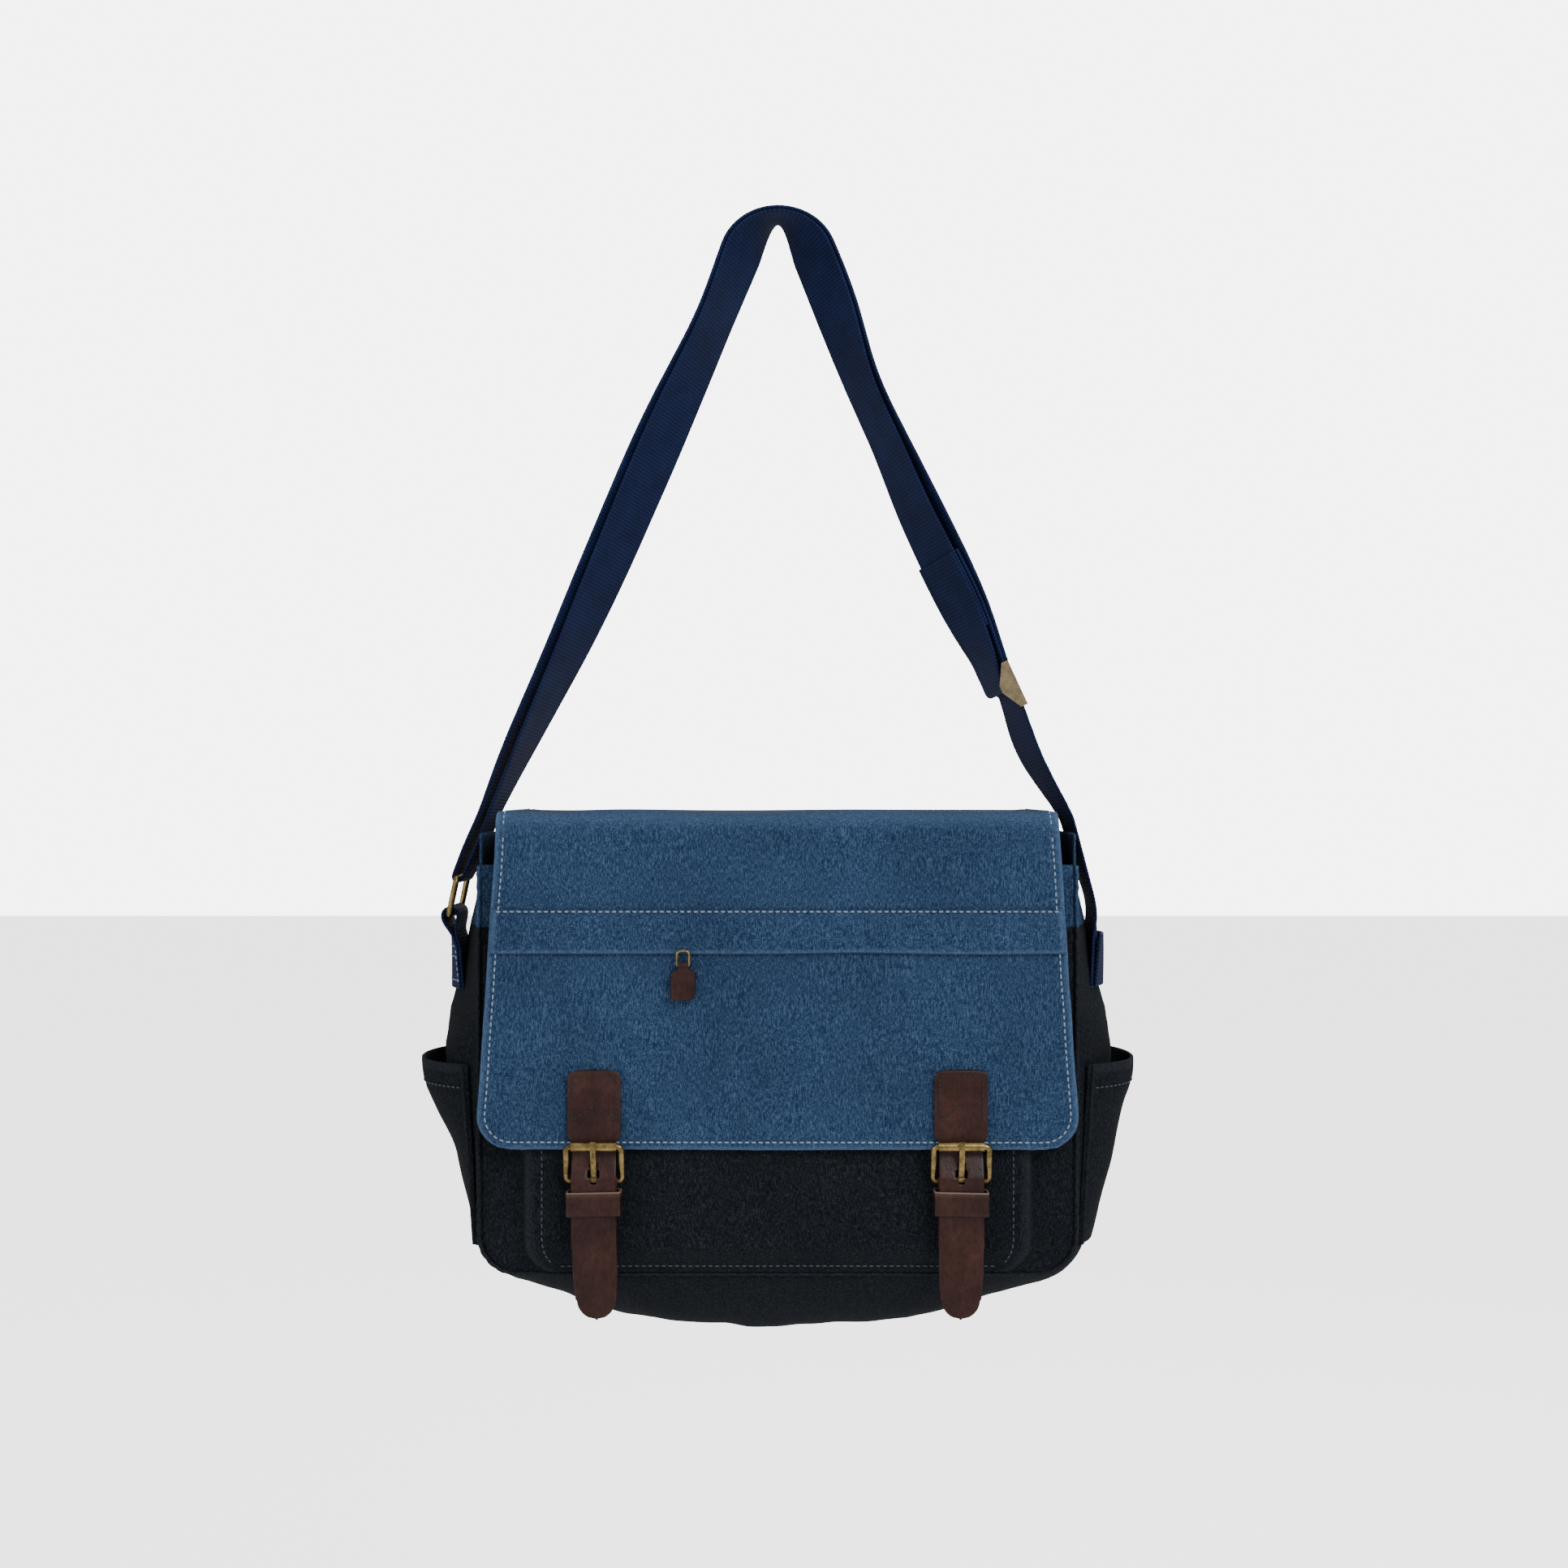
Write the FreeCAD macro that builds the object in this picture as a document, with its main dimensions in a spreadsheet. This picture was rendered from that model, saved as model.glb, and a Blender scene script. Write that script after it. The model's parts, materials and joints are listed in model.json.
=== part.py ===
"""Canvas messenger bag hanging by its shoulder strap, built as separate sewn, cast and turned pieces.

Frame: +Z up, +X to the right as seen from the front, the front of the bag faces -Y.
The origin is the underside of the strap's top fold, where a nail or hook carries the bag.
All sizes are millimetres.
"""
import FreeCAD, Part
import math
import os
import Sketcher

from FreeCAD import Placement, Rotation, Vector

DIMENSIONS = {
    # strap
    "webbing_width": (38.0, "width of the shoulder strap webbing"),
    "webbing_thick": (1.6, "thickness of the webbing"),
    "nail_bend": (8.0, "inside radius of the strap where it goes over its hook"),
    "leg_angle": (24.8, "angle of each strap leg from the vertical, degrees"),
    "ring_drop": (423.1, "length of a leg, from the hook's centre line to the ring's upper bar"),
    "slider_drop": (300.0, "distance down the right leg to the slider's centre bar"),
    "slider_travel": (15.0, "how far the slider moves each way"),
    # canvas shell
    "canvas_thick": (1.6, "thickness of the body canvas with its lining"),
    "bag_half_width": (170.0, "half the width of the front and back panels at the seam"),
    "bag_half_depth": (45.0, "half the depth of the bag at the seams"),
    "rim_drop": (356.0, "height of the back panel's upper edge below the hook"),
    "mouth_drop": (380.0, "height of the front panel's upper edge below the hook"),
    "seam_drop": (612.0, "height of the bottom seam below the hook"),
    "corner_round": (22.0, "radius of the panels' lower corners"),
    "base_seam_half": (128.0, "half the length of the base panel between its two seams"),
    # pockets
    "pocket_half_width": (140.0, "half the width of the front pocket"),
    "pocket_depth": (12.0, "how far the front pocket stands out"),
    "pocket_rim_drop": (425.0, "height of the front pocket's upper edge below the hook"),
    "side_rim_drop": (492.0, "height of the side pockets' upper edge below the hook"),
    "side_flare": (210.0, "furthest reach of a side pocket's rim from the middle plane"),
    "side_half_depth": (40.0, "half the front to back width of a side pocket"),
    # flap
    "cover_half_width": (155.0, "half the width of the flap over the top of the bag"),
    "flap_top_half": (158.0, "half the width of the flap's drop at its fold"),
    "flap_low_half": (170.0, "half the width of the flap's drop at its hem"),
    "flap_top_drop": (349.0, "height of the flap's top face below the hook"),
    "flap_hem_drop": (539.0, "height of the flap's hem below the hook"),
    "flap_round": (20.0, "radius of the flap's lower corners"),
    "flap_ply": (1.2, "thickness of one ply of the flap"),
    "flap_face": (61.8, "distance of the flap's outer face from the middle plane"),
    "lining_face": (57.4, "distance of the flap lining's inner face from the middle plane"),
    "fold_round": (9.8, "outside radius of the flap's front fold"),
    "placket_drop": (429.0, "height of the folded placket edge below the hook"),
    "placket_seam_drop": (404.0, "height of the stitching that holds the placket"),
    "zip_drop": (423.0, "height of the zip's centre line below the hook"),
    "zip_half_length": (150.0, "half the length of the zip tape"),
    # leather and buckles
    "buckle_offset": (103.0, "distance of each buckle from the middle"),
    "heel_drop": (556.0, "height of the buckle's heel bar below the hook"),
    "wire_dia": (3.6, "diameter of the buckle and ring wire"),
    "frame_width": (31.0, "width of the buckle's wire at its centre line"),
    "frame_height": (20.0, "height of the buckle's wire at its centre line"),
    "roller_dia": (5.5, "outside diameter of the buckle's roller"),
    "roller_length": (25.6, "length of the buckle's roller"),
    "leather_thick": (2.4, "thickness of the leather straps"),
    "chape_thick": (1.6, "thickness of the leather chape"),
    "strap_leather_width": (25.0, "width of the leather straps"),
    "tab_width": (30.0, "width of the leather tab sewn on the flap"),
    "tab_top_drop": (494.5, "height of the leather tab's upper edge below the hook"),
    "keeper_height": (13.5, "height of the leather keeper"),
    "keeper_width": (31.0, "outside width of the leather keeper"),
    "keeper_depth": (13.6, "outside depth of the leather keeper, front to back"),
    "pull_width": (13.0, "width of the zip pull's leather faces"),
    "snap_radius": (8.0, "radius of the magnetic snap"),
    "snap_drop": (587.0, "height of the snap's centre below the hook"),
}

doc = FreeCAD.newDocument("messenger_bag")
sheet = doc.addObject("Spreadsheet::Sheet", "Dimensions")
for row, (alias, (value, meaning)) in enumerate(DIMENSIONS.items(), start=1):
    sheet.set(f"A{row}", str(value))
    sheet.setAlias(f"A{row}", alias)
    sheet.set(f"B{row}", meaning)
doc.recompute()


def size(alias):
    """The value of a driving dimension."""
    return float(sheet.get(alias))


pieces = []


def keep(item, label):
    """Give a finished sub-part its name and list it for export."""
    item.Label = label
    pieces.append(item)
    return item


def add(kind, name):
    """Add a document object of this kind."""
    return doc.addObject(kind, name)


def bind(item, **expressions):
    """Bind properties of an object to expressions over the sheet's aliases."""
    for prop, expression in expressions.items():
        for alias in sorted(DIMENSIONS, key=len, reverse=True):
            expression = expression.replace("$" + alias, "Dimensions." + alias)
        item.setExpression(prop.replace("__", "."), expression)
    return item


def expression_value(expression):
    """Work out a size expression, such as "$seam_drop - 2"."""
    for alias in sorted(DIMENSIONS, key=len, reverse=True):
        expression = expression.replace("$" + alias, str(size(alias)))
    return float(FreeCAD.Units.Quantity(expression).Value)


# ---------------------------------------------------------------------------
# flat cloth plates: a rounded, tapered outline drawn in the XZ plane and padded towards the front
# ---------------------------------------------------------------------------

def origin_plane(body, role):
    """The named plane of a body's own origin."""
    for feature in body.Origin.OriginFeatures:
        if feature.Role == role:
            return feature
    raise RuntimeError("no such plane: " + role)


def plate_outline(body, name, top, bottom, half_top, half_bottom, radius):
    """A sketch of a plate that tapers from its top edge to two rounded lower corners.

    Heights are drops below the origin.
    """
    sketch = body.newObject("Sketcher::SketchObject", name)
    sketch.AttachmentSupport = [(origin_plane(body, "XZ_Plane"), "")]
    sketch.MapMode = "FlatFace"
    high = -expression_value(top)
    low = -expression_value(bottom)
    wide_top = expression_value(half_top)
    wide_low = expression_value(half_bottom)
    curve = expression_value(radius)
    centre_x = wide_low - curve
    centre_z = low + curve
    # direction of the right side line, which is tangent to the corner arc
    reach = math.hypot(wide_top - centre_x, high - centre_z)
    lean = math.atan2(high - centre_z, wide_top - centre_x)
    turn = lean - math.acos(curve / reach)
    touch_x = centre_x + curve * math.cos(turn)
    touch_z = centre_z + curve * math.sin(turn)
    up = Vector(0, 0, 1)
    right_centre = Vector(centre_x, centre_z, 0)
    left_centre = Vector(-centre_x, centre_z, 0)
    sketch.addGeometry([
        Part.LineSegment(Vector(-wide_top, high, 0), Vector(wide_top, high, 0)),
        Part.LineSegment(Vector(wide_top, high, 0), Vector(touch_x, touch_z, 0)),
        Part.ArcOfCircle(Part.Circle(right_centre, up, curve), -math.pi / 2, turn),
        Part.LineSegment(Vector(centre_x, low, 0), Vector(-centre_x, low, 0)),
        Part.ArcOfCircle(Part.Circle(left_centre, up, curve), math.pi - turn, 1.5 * math.pi),
        Part.LineSegment(Vector(-touch_x, touch_z, 0), Vector(-wide_top, high, 0)),
    ], False)
    sketch.addConstraint([
        Sketcher.Constraint("Coincident", 0, 2, 1, 1),
        Sketcher.Constraint("Coincident", 5, 2, 0, 1),
        Sketcher.Constraint("Tangent", 1, 2, 2, 2),
        Sketcher.Constraint("Tangent", 2, 1, 3, 1),
        Sketcher.Constraint("Tangent", 3, 2, 4, 2),
        Sketcher.Constraint("Tangent", 4, 1, 5, 1),
        Sketcher.Constraint("Symmetric", 0, 1, 0, 2, -2),
        Sketcher.Constraint("Symmetric", 4, 3, 2, 3, -2),
        Sketcher.Constraint("Equal", 2, 4),
        Sketcher.Constraint("DistanceX", 0, 1, 0, 2, 2 * wide_top),
        Sketcher.Constraint("DistanceX", 4, 3, 2, 3, 2 * centre_x),
        Sketcher.Constraint("DistanceY", 0, 1, -1, 1, -high),
        Sketcher.Constraint("DistanceY", 3, 1, -1, 1, -low),
        Sketcher.Constraint("Radius", 2, curve),
    ])
    named = {
        9: f"2 * ({half_top})",
        10: f"2 * ({half_bottom} - ({radius}))",
        11: top,
        12: bottom,
        13: radius,
    }
    for index, expression in named.items():
        bind(sketch, **{f"Constraints[{index}]": expression})
    return sketch


def cloth_plate(label, top, bottom, half_top, half_bottom, radius, inner, thick):
    """A flat plate of cloth whose inner face is at this distance in front of the middle plane."""
    body = add("PartDesign::Body", label + "_body")
    sketch = plate_outline(body, label + "_outline", top, bottom, half_top, half_bottom, radius)
    bind(sketch, AttachmentOffset__Base__z=inner)
    pad = body.newObject("PartDesign::Pad", label + "_pad")
    pad.Profile = sketch
    pad.Length = expression_value(thick)
    bind(pad, Length=thick)
    sketch.Visibility = False
    return keep(body, label)


# ---------------------------------------------------------------------------
# ribbons: webbing and leather that bend in one plane
# ---------------------------------------------------------------------------

def ribbon_sides(points, radii, half_thick):
    """Both side curves of a ribbon whose centre line runs through rounded corners.

    points are (across, up) pairs, and radii hold one value for each inner point.
    """
    flat = [Vector(across, up, 0) for across, up in points]
    ends = [(flat[0], flat[0])]
    arcs = []
    for index in range(1, len(flat) - 1):
        before = (flat[index - 1] - flat[index]).normalize()
        after = (flat[index + 1] - flat[index]).normalize()
        half = math.acos(max(-1.0, min(1.0, before.dot(after)))) / 2
        setback = radii[index - 1] / math.tan(half)
        start = flat[index] + before * setback
        finish = flat[index] + after * setback
        centre = flat[index] + (before + after).normalize() * (radii[index - 1] / math.sin(half))
        arcs.append((start, finish, centre))
        ends.append((start, finish))
    ends.append((flat[-1], flat[-1]))
    sides = []
    for sign in (1, -1):
        edges = []
        shift = sign * half_thick
        corner = None
        for index in range(len(ends) - 1):
            start = ends[index][1]
            finish = ends[index + 1][0]
            run = finish - start
            if run.Length > 1e-6:
                run.normalize()
                normal = Vector(-run.y, run.x, 0)
                first = start + normal * shift
                last = finish + normal * shift
                edges.append(Part.LineSegment(first, last))
                corner = last
            if index < len(arcs):
                start, finish, centre = arcs[index]
                spoke = (start - centre).normalize()
                other = (finish - centre).normalize()
                middle = (spoke + other).normalize()
                outward = (start - centre).Length
                before = flat[index + 1] - start
                left_turn = before.cross(finish - flat[index + 1]).z > 0
                radius = outward - shift if left_turn else outward + shift
                first = centre + spoke * radius
                last = centre + other * radius
                edges.append(Part.Arc(first, centre + middle * radius, last))
                corner = last
        sides.append((edges, corner))
    return sides


def ribbon_face(points, radii, thick):
    """The filled side view of a ribbon, in the XY plane."""
    (left, left_end), (right, right_end) = ribbon_sides(points, radii, thick / 2)
    edges = [curve.toShape() for curve in left]
    edges += [curve.toShape() for curve in right]
    start_left = left[0].StartPoint
    start_right = right[0].StartPoint
    edges.append(Part.LineSegment(start_left, start_right).toShape())
    edges.append(Part.LineSegment(left_end, right_end).toShape())
    wire = Part.Wire(Part.__sortEdges__(edges))
    return Part.Face(wire)


def ribbon_along_y(points, radii, thick, width):
    """A ribbon drawn as (x, z) points, this wide along Y about the middle plane."""
    face = ribbon_face(points, radii, thick)
    face.rotate(Vector(0, 0, 0), Vector(1, 0, 0), 90)
    face.translate(Vector(0, width / 2, 0))
    return face.extrude(Vector(0, -width, 0))


def ribbon_along_x(points, radii, thick, width):
    """A ribbon drawn as (y, z) points, this wide along X about the middle plane."""
    face = ribbon_face(points, radii, thick)
    face.rotate(Vector(0, 0, 0), Vector(1, 1, 1), 120)
    face.translate(Vector(-width / 2, 0, 0))
    return face.extrude(Vector(width, 0, 0))


def shaped(label, shape, place=None):
    """A sub-part whose shape is worked out in code from the sheet's dimensions."""
    item = add("Part::Feature", label + "_shape")
    item.Shape = shape
    if place is not None:
        item.Placement = place
    return keep(item, label)


# ---------------------------------------------------------------------------
# canvas shell
# ---------------------------------------------------------------------------

CANVAS = size("canvas_thick")
HALF_WIDTH = size("bag_half_width")
HALF_DEPTH = size("bag_half_depth")
SEAM_Z = -size("seam_drop")
CORNER = size("corner_round")

# how far the gusset bulges beyond the seam, down the side and along the base
SIDE_BULGE = [(-362.0, 1.5), (-400.0, 7.0), (-450.0, 17.5), (-490.0, 26.0), (-545.0, 19.0), (-588.0, 9.0)]
CORNER_BULGE = 8.0
BASE_BULGE = [(140.0, 18.0), (128.0, 25.0), (85.0, 37.0), (0.0, 41.0)]


def crescent(seam, outward, bulge, half_depth, thick):
    """A thin bowed section that spans the bag's depth, standing on a point of the seam line."""
    def at(depth, rise):
        return Vector(seam[0] + outward[0] * rise, depth, seam[1] + outward[1] * rise)

    outer = Part.Arc(at(-half_depth, 0), at(0, bulge), at(half_depth, 0))
    inner = Part.Arc(at(-half_depth, -thick), at(0, bulge - thick), at(half_depth, -thick))
    edges = [
        outer.toShape(),
        Part.makeLine(at(half_depth, 0), at(half_depth, -thick)),
        inner.toShape(),
        Part.makeLine(at(-half_depth, -thick), at(-half_depth, 0)),
    ]
    return Part.Wire(Part.__sortEdges__(edges))


def side_gusset(sign):
    """The bowed side cloth, from the mouth down round the lower corner to the base seam."""
    sections = []
    for height, bulge in SIDE_BULGE:
        sections.append(crescent((sign * HALF_WIDTH, height), (sign, 0), bulge, HALF_DEPTH, CANVAS))
    for degrees in (15, 30, 45, 60, 75):
        turn = math.radians(degrees)
        outward = (sign * math.cos(turn), -math.sin(turn))
        seam = (
            sign * (HALF_WIDTH - CORNER) + outward[0] * CORNER,
            SEAM_Z + CORNER + outward[1] * CORNER,
        )
        sections.append(crescent(seam, outward, CORNER_BULGE, HALF_DEPTH, CANVAS))
    for across, bulge in BASE_BULGE[:2]:
        sections.append(crescent((sign * across, SEAM_Z), (0, -1), bulge, HALF_DEPTH, CANVAS))
    return Part.makeLoft(sections, True, True)


def base_gusset():
    """The sagging cloth under the bag, between its two end seams."""
    half = [(across, bulge) for across, bulge in BASE_BULGE[1:]]
    stations = [(-across, bulge) for across, bulge in half] + half[-2::-1]
    sections = [crescent((across, SEAM_Z), (0, -1), bulge, HALF_DEPTH, CANVAS)
                for across, bulge in stations]
    return Part.makeLoft(sections, True, True)


cloth_plate("front_panel", "$mouth_drop", "$seam_drop - $canvas_thick",
            "$bag_half_width - $canvas_thick", "$bag_half_width - $canvas_thick",
            "$corner_round - $canvas_thick", "$bag_half_depth - $canvas_thick", "$canvas_thick")
cloth_plate("back_panel", "$rim_drop", "$seam_drop - $canvas_thick",
            "$bag_half_width - $canvas_thick", "$bag_half_width - $canvas_thick",
            "$corner_round - $canvas_thick", "-$bag_half_depth", "$canvas_thick")
shaped("left_gusset", side_gusset(-1))
shaped("right_gusset", side_gusset(1))
shaped("base_gusset", base_gusset())


def front_pocket():
    """The box pocket on the front panel, open at its top."""
    body = add("PartDesign::Body", "front_pocket_body")
    outline = plate_outline(body, "front_pocket_outline", "$pocket_rim_drop", "$seam_drop",
                            "$pocket_half_width", "$pocket_half_width", "10")
    bind(outline, AttachmentOffset__Base__z="$bag_half_depth")
    block = body.newObject("PartDesign::Pad", "front_pocket_block")
    block.Profile = outline
    block.Length = size("pocket_depth")
    bind(block, Length="$pocket_depth")
    doc.recompute()
    hollow = plate_outline(body, "front_pocket_hollow", "$pocket_rim_drop - 5",
                           "$seam_drop - $canvas_thick", "$pocket_half_width - $canvas_thick",
                           "$pocket_half_width - $canvas_thick", "10 - $canvas_thick")
    bind(hollow, AttachmentOffset__Base__z="$bag_half_depth + $pocket_depth - $canvas_thick")
    cut = body.newObject("PartDesign::Pocket", "front_pocket_space")
    cut.Profile = hollow
    cut.Type = 1
    keep(body, "front_pocket")


front_pocket()

SIDE_RIM_Z = -size("side_rim_drop")
SIDE_FLARE = size("side_flare")
# height, where the pocket's edges meet the gusset, and how far its middle stands out
SIDE_POCKET = [
    (SIDE_RIM_Z, 178.0, SIDE_FLARE),
    (-520.0, 177.5, SIDE_FLARE - 4.0),
    (-560.0, 175.5, SIDE_FLARE - 15.0),
    (-597.0, 173.0, 181.0),
]


def side_pocket(sign):
    """A pocket on the side gusset, which flares out towards its open rim."""
    half = size("side_half_depth")
    sections = []
    for height, edge, middle in SIDE_POCKET:
        sections.append(crescent((sign * edge, height), (sign, 0), middle - edge, half, CANVAS))
    return Part.makeLoft(sections, True, True)


shaped("left_side_pocket", side_pocket(-1))
shaped("right_side_pocket", side_pocket(1))


# ---------------------------------------------------------------------------
# shoulder strap, its ring, its slider and its two anchors
# ---------------------------------------------------------------------------

LEG = math.radians(size("leg_angle"))
WEB = size("webbing_thick")
WEB_WIDTH = size("webbing_width")
BEND = size("nail_bend")
INNER_RUN = BEND + WEB / 2
OUTER_RUN = INNER_RUN + WEB + 0.4
MID_RUN = (INNER_RUN + OUTER_RUN) / 2
RING_DROP = size("ring_drop")
SLIDER_DROP = size("slider_drop")


def on_leg(sign, down, offset):
    """A point of a strap leg: this far down it, and this far outside the hook's centre line."""
    across = offset * math.cos(LEG) + down * math.sin(LEG)
    height = -BEND + offset * math.sin(LEG) - down * math.cos(LEG)
    return (sign * across, height)


RING_BAR = on_leg(-1, RING_DROP, MID_RUN)
RING_FOOT = (RING_BAR[0] - 4.5, RING_BAR[1] - 21.5)
WIRE = size("wire_dia") / 2
TURN = WIRE + 0.15 + WEB / 2
LAP_RUN = INNER_RUN - 1.8
LAP_END = 262.0
ANCHOR = (189.5, -452.0)
ANCHOR_TOP = (187.5, -415.0)


def shoulder_strap():
    """The long webbing: anchor, slider, hook, ring, hook again, and down to its sewn end.

    It is sewn flat on the right gusset from ANCHOR up to ANCHOR_TOP.
    """
    apex_outer = -BEND + OUTER_RUN / math.sin(LEG)
    apex_inner = -BEND + INNER_RUN / math.sin(LEG)
    points = [
        ANCHOR,
        ANCHOR_TOP,
        on_leg(1, 385.0, OUTER_RUN),
        (0.0, apex_outer),
        on_leg(-1, RING_DROP - 45.0, OUTER_RUN),
        on_leg(-1, RING_DROP - 12.0, MID_RUN + TURN),
        on_leg(-1, RING_DROP + TURN, MID_RUN + TURN),
        on_leg(-1, RING_DROP + TURN, MID_RUN - TURN),
        on_leg(-1, RING_DROP - 12.0, MID_RUN - TURN),
        on_leg(-1, RING_DROP - 45.0, INNER_RUN),
        (0.0, apex_inner),
        on_leg(1, 150.0, INNER_RUN),
        on_leg(1, 185.0, LAP_RUN),
        on_leg(1, LAP_END, LAP_RUN),
    ]
    radii = [60.0, 120.0, OUTER_RUN, 60.0, 40.0, TURN, TURN, 40.0, 60.0, INNER_RUN, 60.0, 60.0]
    return ribbon_along_y(points, radii, WEB, WEB_WIDTH)


def strap_end_loop():
    """The webbing's end, folded round the slider's centre bar and sewn over the long run."""
    outer = LAP_RUN + WEB + 0.3
    inner = LAP_RUN - WEB - 0.3
    turn = SLIDER_TURN
    bar = outer - turn
    points = [
        on_leg(1, SLIDER_DROP - 85.0, outer),
        on_leg(1, SLIDER_DROP + turn, outer),
        on_leg(1, SLIDER_DROP + turn, bar - turn),
        on_leg(1, SLIDER_DROP - 10.0, bar - turn),
        on_leg(1, SLIDER_DROP - 22.0, inner),
        on_leg(1, SLIDER_DROP - 85.0, inner),
    ]
    return ribbon_along_y(points, [turn, turn, 20.0, 20.0], WEB, WEB_WIDTH)


SLIDER_BAR = 1.5
SLIDER_TURN = SLIDER_BAR + 0.2 + WEB / 2
SLIDER_CENTRE = LAP_RUN + WEB + 0.3 - SLIDER_TURN
SLIDER_OUTER = OUTER_RUN + WEB / 2 + 0.3 + SLIDER_BAR
SLIDER_REACH = 12.5


def y_bar(place, radius, half_length):
    """A round bar along Y at this (x, z) place."""
    start = Vector(place[0], -half_length, place[1])
    return Part.makeCylinder(radius, 2 * half_length, start, Vector(0, 1, 0))


def strap_slider():
    """A three-bar slider: two end bars over the running strap, a centre bar under it."""
    rail_inner = WEB_WIDTH / 2 + 0.8
    rail_thick = 2.4
    half = rail_inner + rail_thick
    corners = [
        on_leg(1, SLIDER_DROP - SLIDER_REACH - 1.5, SLIDER_OUTER + 1.5),
        on_leg(1, SLIDER_DROP + SLIDER_REACH + 1.5, SLIDER_OUTER + 1.5),
        on_leg(1, SLIDER_DROP + SLIDER_REACH + 1.5, SLIDER_OUTER - 2.5),
        on_leg(1, SLIDER_DROP + 2.2, SLIDER_CENTRE - 2.0),
        on_leg(1, SLIDER_DROP - 2.2, SLIDER_CENTRE - 2.0),
        on_leg(1, SLIDER_DROP - SLIDER_REACH - 1.5, SLIDER_OUTER - 2.5),
    ]
    loop = [Vector(x, -half, z) for x, z in corners]
    rail = Part.Face(Part.makePolygon(loop + loop[:1])).extrude(Vector(0, rail_thick, 0))
    other = rail.copy()
    other.translate(Vector(0, 2 * half - rail_thick, 0))
    parts = [other]
    for down in (SLIDER_DROP - SLIDER_REACH, SLIDER_DROP + SLIDER_REACH):
        parts.append(y_bar(on_leg(1, down, SLIDER_OUTER), SLIDER_BAR, half - 0.5))
    parts.append(y_bar(on_leg(1, SLIDER_DROP, SLIDER_CENTRE), SLIDER_BAR, half - 0.5))
    return rail.multiFuse(parts).removeSplitter()


def wire_frame(width, height, corner, radius):
    """A rounded rectangle of round wire in the XY plane, centred on the origin."""
    across = width / 2 - corner
    along = height / 2 - corner
    edges = [
        Part.makeLine(Vector(-across, height / 2, 0), Vector(across, height / 2, 0)),
        Part.makeLine(Vector(width / 2, along, 0), Vector(width / 2, -along, 0)),
        Part.makeLine(Vector(across, -height / 2, 0), Vector(-across, -height / 2, 0)),
        Part.makeLine(Vector(-width / 2, -along, 0), Vector(-width / 2, along, 0)),
    ]
    for turn in (0, 90, 180, 270):
        sign_x = 1 if turn in (0, 270) else -1
        sign_y = 1 if turn in (0, 90) else -1
        centre = Vector(sign_x * across, sign_y * along, 0)
        edges.append(Part.makeCircle(corner, centre, Vector(0, 0, 1), turn, turn + 90))
    path = Part.Wire(Part.__sortEdges__(edges))
    start = path.OrderedEdges[0]
    tangent = start.tangentAt(start.FirstParameter)
    profile = Part.Wire([Part.makeCircle(radius, start.valueAt(start.FirstParameter), tangent)])
    return path.makePipeShell([profile], True, False)


def ring_place():
    """Where the strap ring stands: its long bars along Y, its height from foot to upper bar."""
    centre = Vector((RING_BAR[0] + RING_FOOT[0]) / 2, 0, (RING_BAR[1] + RING_FOOT[1]) / 2)
    up = Vector(RING_BAR[0] - RING_FOOT[0], 0, RING_BAR[1] - RING_FOOT[1])
    up.normalize()
    along = Vector(0, 1, 0)
    return Placement(centre, Rotation(along, up, along.cross(up), "XYZ"))


def strap_tab():
    """The webbing tab on the left side, looped round the ring's lower bar and sewn down."""
    turn = WIRE + 1.8 + WEB / 2
    x, z = RING_FOOT
    points = [
        (-190.0, z - 43.0),
        (-190.0, z - 22.0),
        (x + turn, z - 8.0),
        (x + turn, z + turn),
        (x - turn, z + turn),
        (x - turn, z - 8.0),
        (-192.0, z - 22.0),
        (-192.0, z - 43.0),
    ]
    return ribbon_along_y(points, [20.0, 12.0, turn, turn, 12.0, 20.0], WEB, WEB_WIDTH)


shaped("shoulder_strap", shoulder_strap())
shaped("strap_end_loop", strap_end_loop())
shaped("strap_slider", strap_slider())
ring_height = math.hypot(RING_BAR[0] - RING_FOOT[0], RING_BAR[1] - RING_FOOT[1])
shaped("strap_ring", wire_frame(WEB_WIDTH + 7.0, ring_height, 3.0, WIRE), ring_place())
shaped("left_strap_tab", strap_tab())

patch = add("Part::Box", "right_strap_patch_box")
patch.Placement.Base = Vector(190.7, -WEB_WIDTH / 2, -451.0)
bind(patch, Length="$webbing_thick", Width="$webbing_width")
patch.Height = 30
keep(patch, "right_strap_patch")


# ---------------------------------------------------------------------------
# flap: top cover, drop, hidden zip pocket
# ---------------------------------------------------------------------------

PLY = size("flap_ply")
FACE = size("flap_face")
TOP_Z = -size("flap_top_drop")
FOLD = size("fold_round")


def flap_cover():
    """The flap from its seam on the back panel, over the top, to its front fold."""
    back = HALF_DEPTH - 0.8
    points = [
        (back, -size("rim_drop")),
        (back, TOP_Z - 0.8),
        (-FACE + 0.8, TOP_Z - 0.8),
        (-FACE + 0.8, TOP_Z - FOLD - 0.2),
    ]
    return ribbon_along_x(points, [5.0, FOLD - 0.8], 1.6, 2 * size("cover_half_width"))


shaped("flap_cover", flap_cover())

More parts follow.
